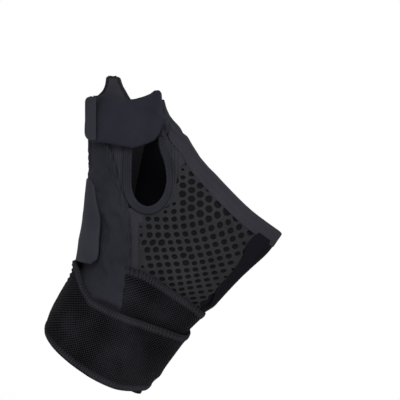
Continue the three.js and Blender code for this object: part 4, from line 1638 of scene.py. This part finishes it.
SELVEDGE_FROM, SELVEDGE_FADE, SELVEDGE_RELIEF = 2.4, 0.8, 0.25
STRAP_CREASE_RELIEF, STRAP_CREASE_PITCH_PX, STRAP_CREASE_SLANT = 0.45, 5.5, 0.62
STRAP_CREASE_PX, STRAP_CREASE_REACH_PX = (83, 278), (13, 20)
CREASE_FRONT = 2  # millimetres
wrist_edge = to_edge(measures(wrist)[0])
selvedge = SELVEDGE_RELIEF * (1 - ease((wrist_edge - SELVEDGE_FROM) / SELVEDGE_FADE))
wrist_px = pixel_of(wrist)
outer_pass = (np.arange(len(wrist)) > len(wrist) / 2)[:, None] & (wrist[..., 1] < CREASE_FRONT)
creased = round_about(wrist_px, STRAP_CREASE_PX, STRAP_CREASE_REACH_PX) * outer_pass
slanted = wrist_px[..., 0] - STRAP_CREASE_SLANT * wrist_px[..., 1]
creases = np.sin(slanted * 2 * math.pi / STRAP_CREASE_PITCH_PX)
relief = selvedge + STRAP_CREASE_RELIEF * creases * creased
wrist_face = lift(wrist, wrist_under + WRIST_STRAP_THICKNESS + relief)
wrist_piece = cloth_body("wrist_strap_elastic", wrist, wrist_face, lift(wrist, wrist_under))
edges = np.zeros(len(wrist_piece.data.vertices))
edges[: 2 * wrist_edge.size] = np.tile(wrist_edge.ravel(), 2)
keep_values(wrist_piece, "edge", edges)
finish_piece(wrist_piece, elastic, "wrist_strap")

# %% [markdown]
# ## Stitches
#
# Rows of stitches hold the bands and the strap's end. One stitch is a small bead, and the
# tree sets it along each seam line at the pitch of a sewing machine. They are hardly lighter
# than the cloth, but near the camera they show how the splint is made.

# %% A tree that sews along lines
def stitch_tree():
    """Beads of thread along lines, one for each pitch."""
    floats = [(label, "Float") for label in ("Pitch", "Stitch length", "Thread radius")]
    tree, given = start_tree("stitch row", [*floats, ("Thread", "Material")])
    line = add(tree, "GeometryNodeMeshToCurve", {"Mesh": given["Geometry"]})
    inputs = {"Curve": line.outputs[0], "Length": given["Pitch"]}
    spaced = add(tree, "GeometryNodeResampleCurve", inputs, mode="LENGTH")
    bead = add(tree, "GeometryNodeMeshUVSphere", {"Segments": 6, "Rings": 4, "Radius": 1.0})
    along = {"Vector": add(tree, "GeometryNodeInputTangent").outputs[0]}
    turned = add(tree, "FunctionNodeAlignRotationToVector", along, axis="X")
    half = reckoned(tree, "MULTIPLY", given["Stitch length"], 0.5)
    inputs = {0: half, 1: given["Thread radius"], 2: given["Thread radius"]}
    sizes = add(tree, "ShaderNodeCombineXYZ", inputs)
    sewn_beads = add(
        tree, "GeometryNodeInstanceOnPoints",
        {"Points": spaced.outputs[0], "Instance": bead.outputs["Mesh"],
         "Rotation": turned.outputs[0], "Scale": sizes.outputs[0]},
    )
    return end_tree(tree, sewn_beads.outputs[0], given["Thread"])


def line_across(face, share):
    """A line along a band, at a share of the way across it."""
    return face[:, round(share * (face.shape[1] - 1))]


# Where the rows of stitches run, as shares of the way across each piece.
BINDING_ROW, HEM_ROW, TAB_STITCHES, STRAP_END_ROW = 0.2, 0.3, (0.93, 0.86), 0.85
SELVEDGE_ROWS = (0.015, 0.045, 0.955, 0.985)
seam_lines = [line_across(binding, BINDING_ROW), line_across(hem, HEM_ROW)[: len(hem) * 3 // 4]]
seam_lines += [line_across(tab_face, share) for share in TAB_STITCHES]
seam_lines.append(line_across(end_face, STRAP_END_ROW)[2:-2])
selvedge_lines = [line_across(wrist_face, share) for share in SELVEDGE_ROWS]


def sewn(name, lines, pitch, length, radius):
    """Stitches along lines, with their sizes in millimetres."""
    edges, first = [], 0
    for line in lines:
        edges += [(first + k, first + k + 1) for k in range(len(line) - 1)]
        first += len(line)
    mesh = bpy.data.meshes.new(name + "_lines")
    mesh.from_pydata((np.concatenate(lines) * MM).tolist(), edges, [])
    source = in_scene(name + "_lines", mesh)
    sizes = {"Pitch": pitch * MM, "Stitch length": length * MM, "Thread radius": radius * MM}
    made = apply_nodes(source, stitches, {**sizes, "Thread": thread}, name)
    finish_piece(made, thread)


stitches = stitch_tree()
sewn("seam_stitches", seam_lines, pitch=2.8, length=2.0, radius=0.18)
sewn("selvedge_loops", selvedge_lines, pitch=1.5, length=1.1, radius=0.22)

# %% [markdown]
# ## The little-finger edge
#
# The glove is a little fuller above the wrist strap than the form. So the finished cloth is
# moved: each point by its place beside the edge line in the picture, and the wrist strap,
# which holds the cloth in, not at all.

# %% The cloth is fuller above the wrist strap
EDGE_LOW_PX, EDGE_HIGH_PX = np.array((204.0, 311.0)), np.array((277.0, 238.0))
EDGE_OUT_PX = [
    # share of the way up the edge; pixels outwards
    (-0.12, 0), (0, 2.5), (0.1, 5), (0.25, 4.2), (0.5, 3), (0.9, 3.2), (1, 2.5), (1.12, 0),
]
EDGE_REACH_PX = 28
EDGE_PIECES = (
    "palm_panel", "air_mesh_net", "back_panel_cloth", "back_panel_lap", "seam_stitches",
    "hand_opening_hem_band",
)
MM_PER_PX = 0.55
edge_run = EDGE_HIGH_PX - EDGE_LOW_PX
edge_out = np.array((-edge_run[1], edge_run[0])) / np.linalg.norm(edge_run)
outwards = RIGHT * edge_out[0] - UP * edge_out[1]
for name in EDGE_PIECES:
    mesh = bpy.data.objects[name].data
    places = np.empty(len(mesh.vertices) * 3, np.float32)
    mesh.vertices.foreach_get("co", places)
    places = places.reshape(-1, 3) / MM
    beside = pixel_of(places) - EDGE_LOW_PX
    along = beside @ edge_run / (edge_run @ edge_run)
    fade = ease(1 + np.minimum(beside @ edge_out, 0) / EDGE_REACH_PX)
    out_px = np.interp(along, *zip(*EDGE_OUT_PX)) * fade
    places = moved(places, out_px, outwards) * MM
    mesh.vertices.foreach_set("co", places.astype(np.float32).ravel())
    mesh.update()
    print(name, "stands out by", round(float(out_px.max()) * MM_PER_PX, 1), "mm at most")

# %% [markdown]
# ## Light and floor
#
# The photograph is evenly lit against white. A large soft light from the front and left
# shapes the cloth, and a weaker one from the right keeps its dark side readable.

# %% Studio
world = bpy.data.worlds.new("studio")
bpy.context.scene.world = world
world.use_nodes = True
sky = world.node_tree.nodes["Background"]
sky.inputs["Color"].default_value = (1, 1, 1, 1)
sky.inputs["Strength"].default_value = 1.0


def soft_light(name, place, size, watts):
    """A round soft light that points at the middle of the splint."""
    data = bpy.data.lights.new(name, "AREA")
    data.shape = "DISK"
    data.size = size
    data.energy = watts
    light = in_scene(name, data)
    light.location = place
    light.rotation_euler = (MIDDLE - Vector(place)).to_track_quat("-Z", "Y").to_euler()


MIDDLE = Vector((-0.01, 0, 0.07))
soft_light("key", (-0.35, -0.75, 0.55), size=0.5, watts=9)
soft_light("fill", (0.7, -0.6, 0.3), size=0.6, watts=4)

FLOOR_REACH, FLOOR_DEPTH = 800, -330
WHITE_PAINT = (0.85, 0.85, 0.85, 1)
corners = [(x * FLOOR_REACH, y * FLOOR_REACH, FLOOR_DEPTH)
           for x, y in ((-1, -1), (1, -1), (1, 1), (-1, 1))]
floor = mesh_object("floor", corners, [(0, 1, 2, 3)])
floor_paint = bpy.data.materials.new("matt white board")
floor_paint.use_nodes = True
paint = floor_paint.node_tree.nodes["Principled BSDF"]
paint.inputs["Base Color"].default_value = WHITE_PAINT
floor.data.materials.append(floor_paint)
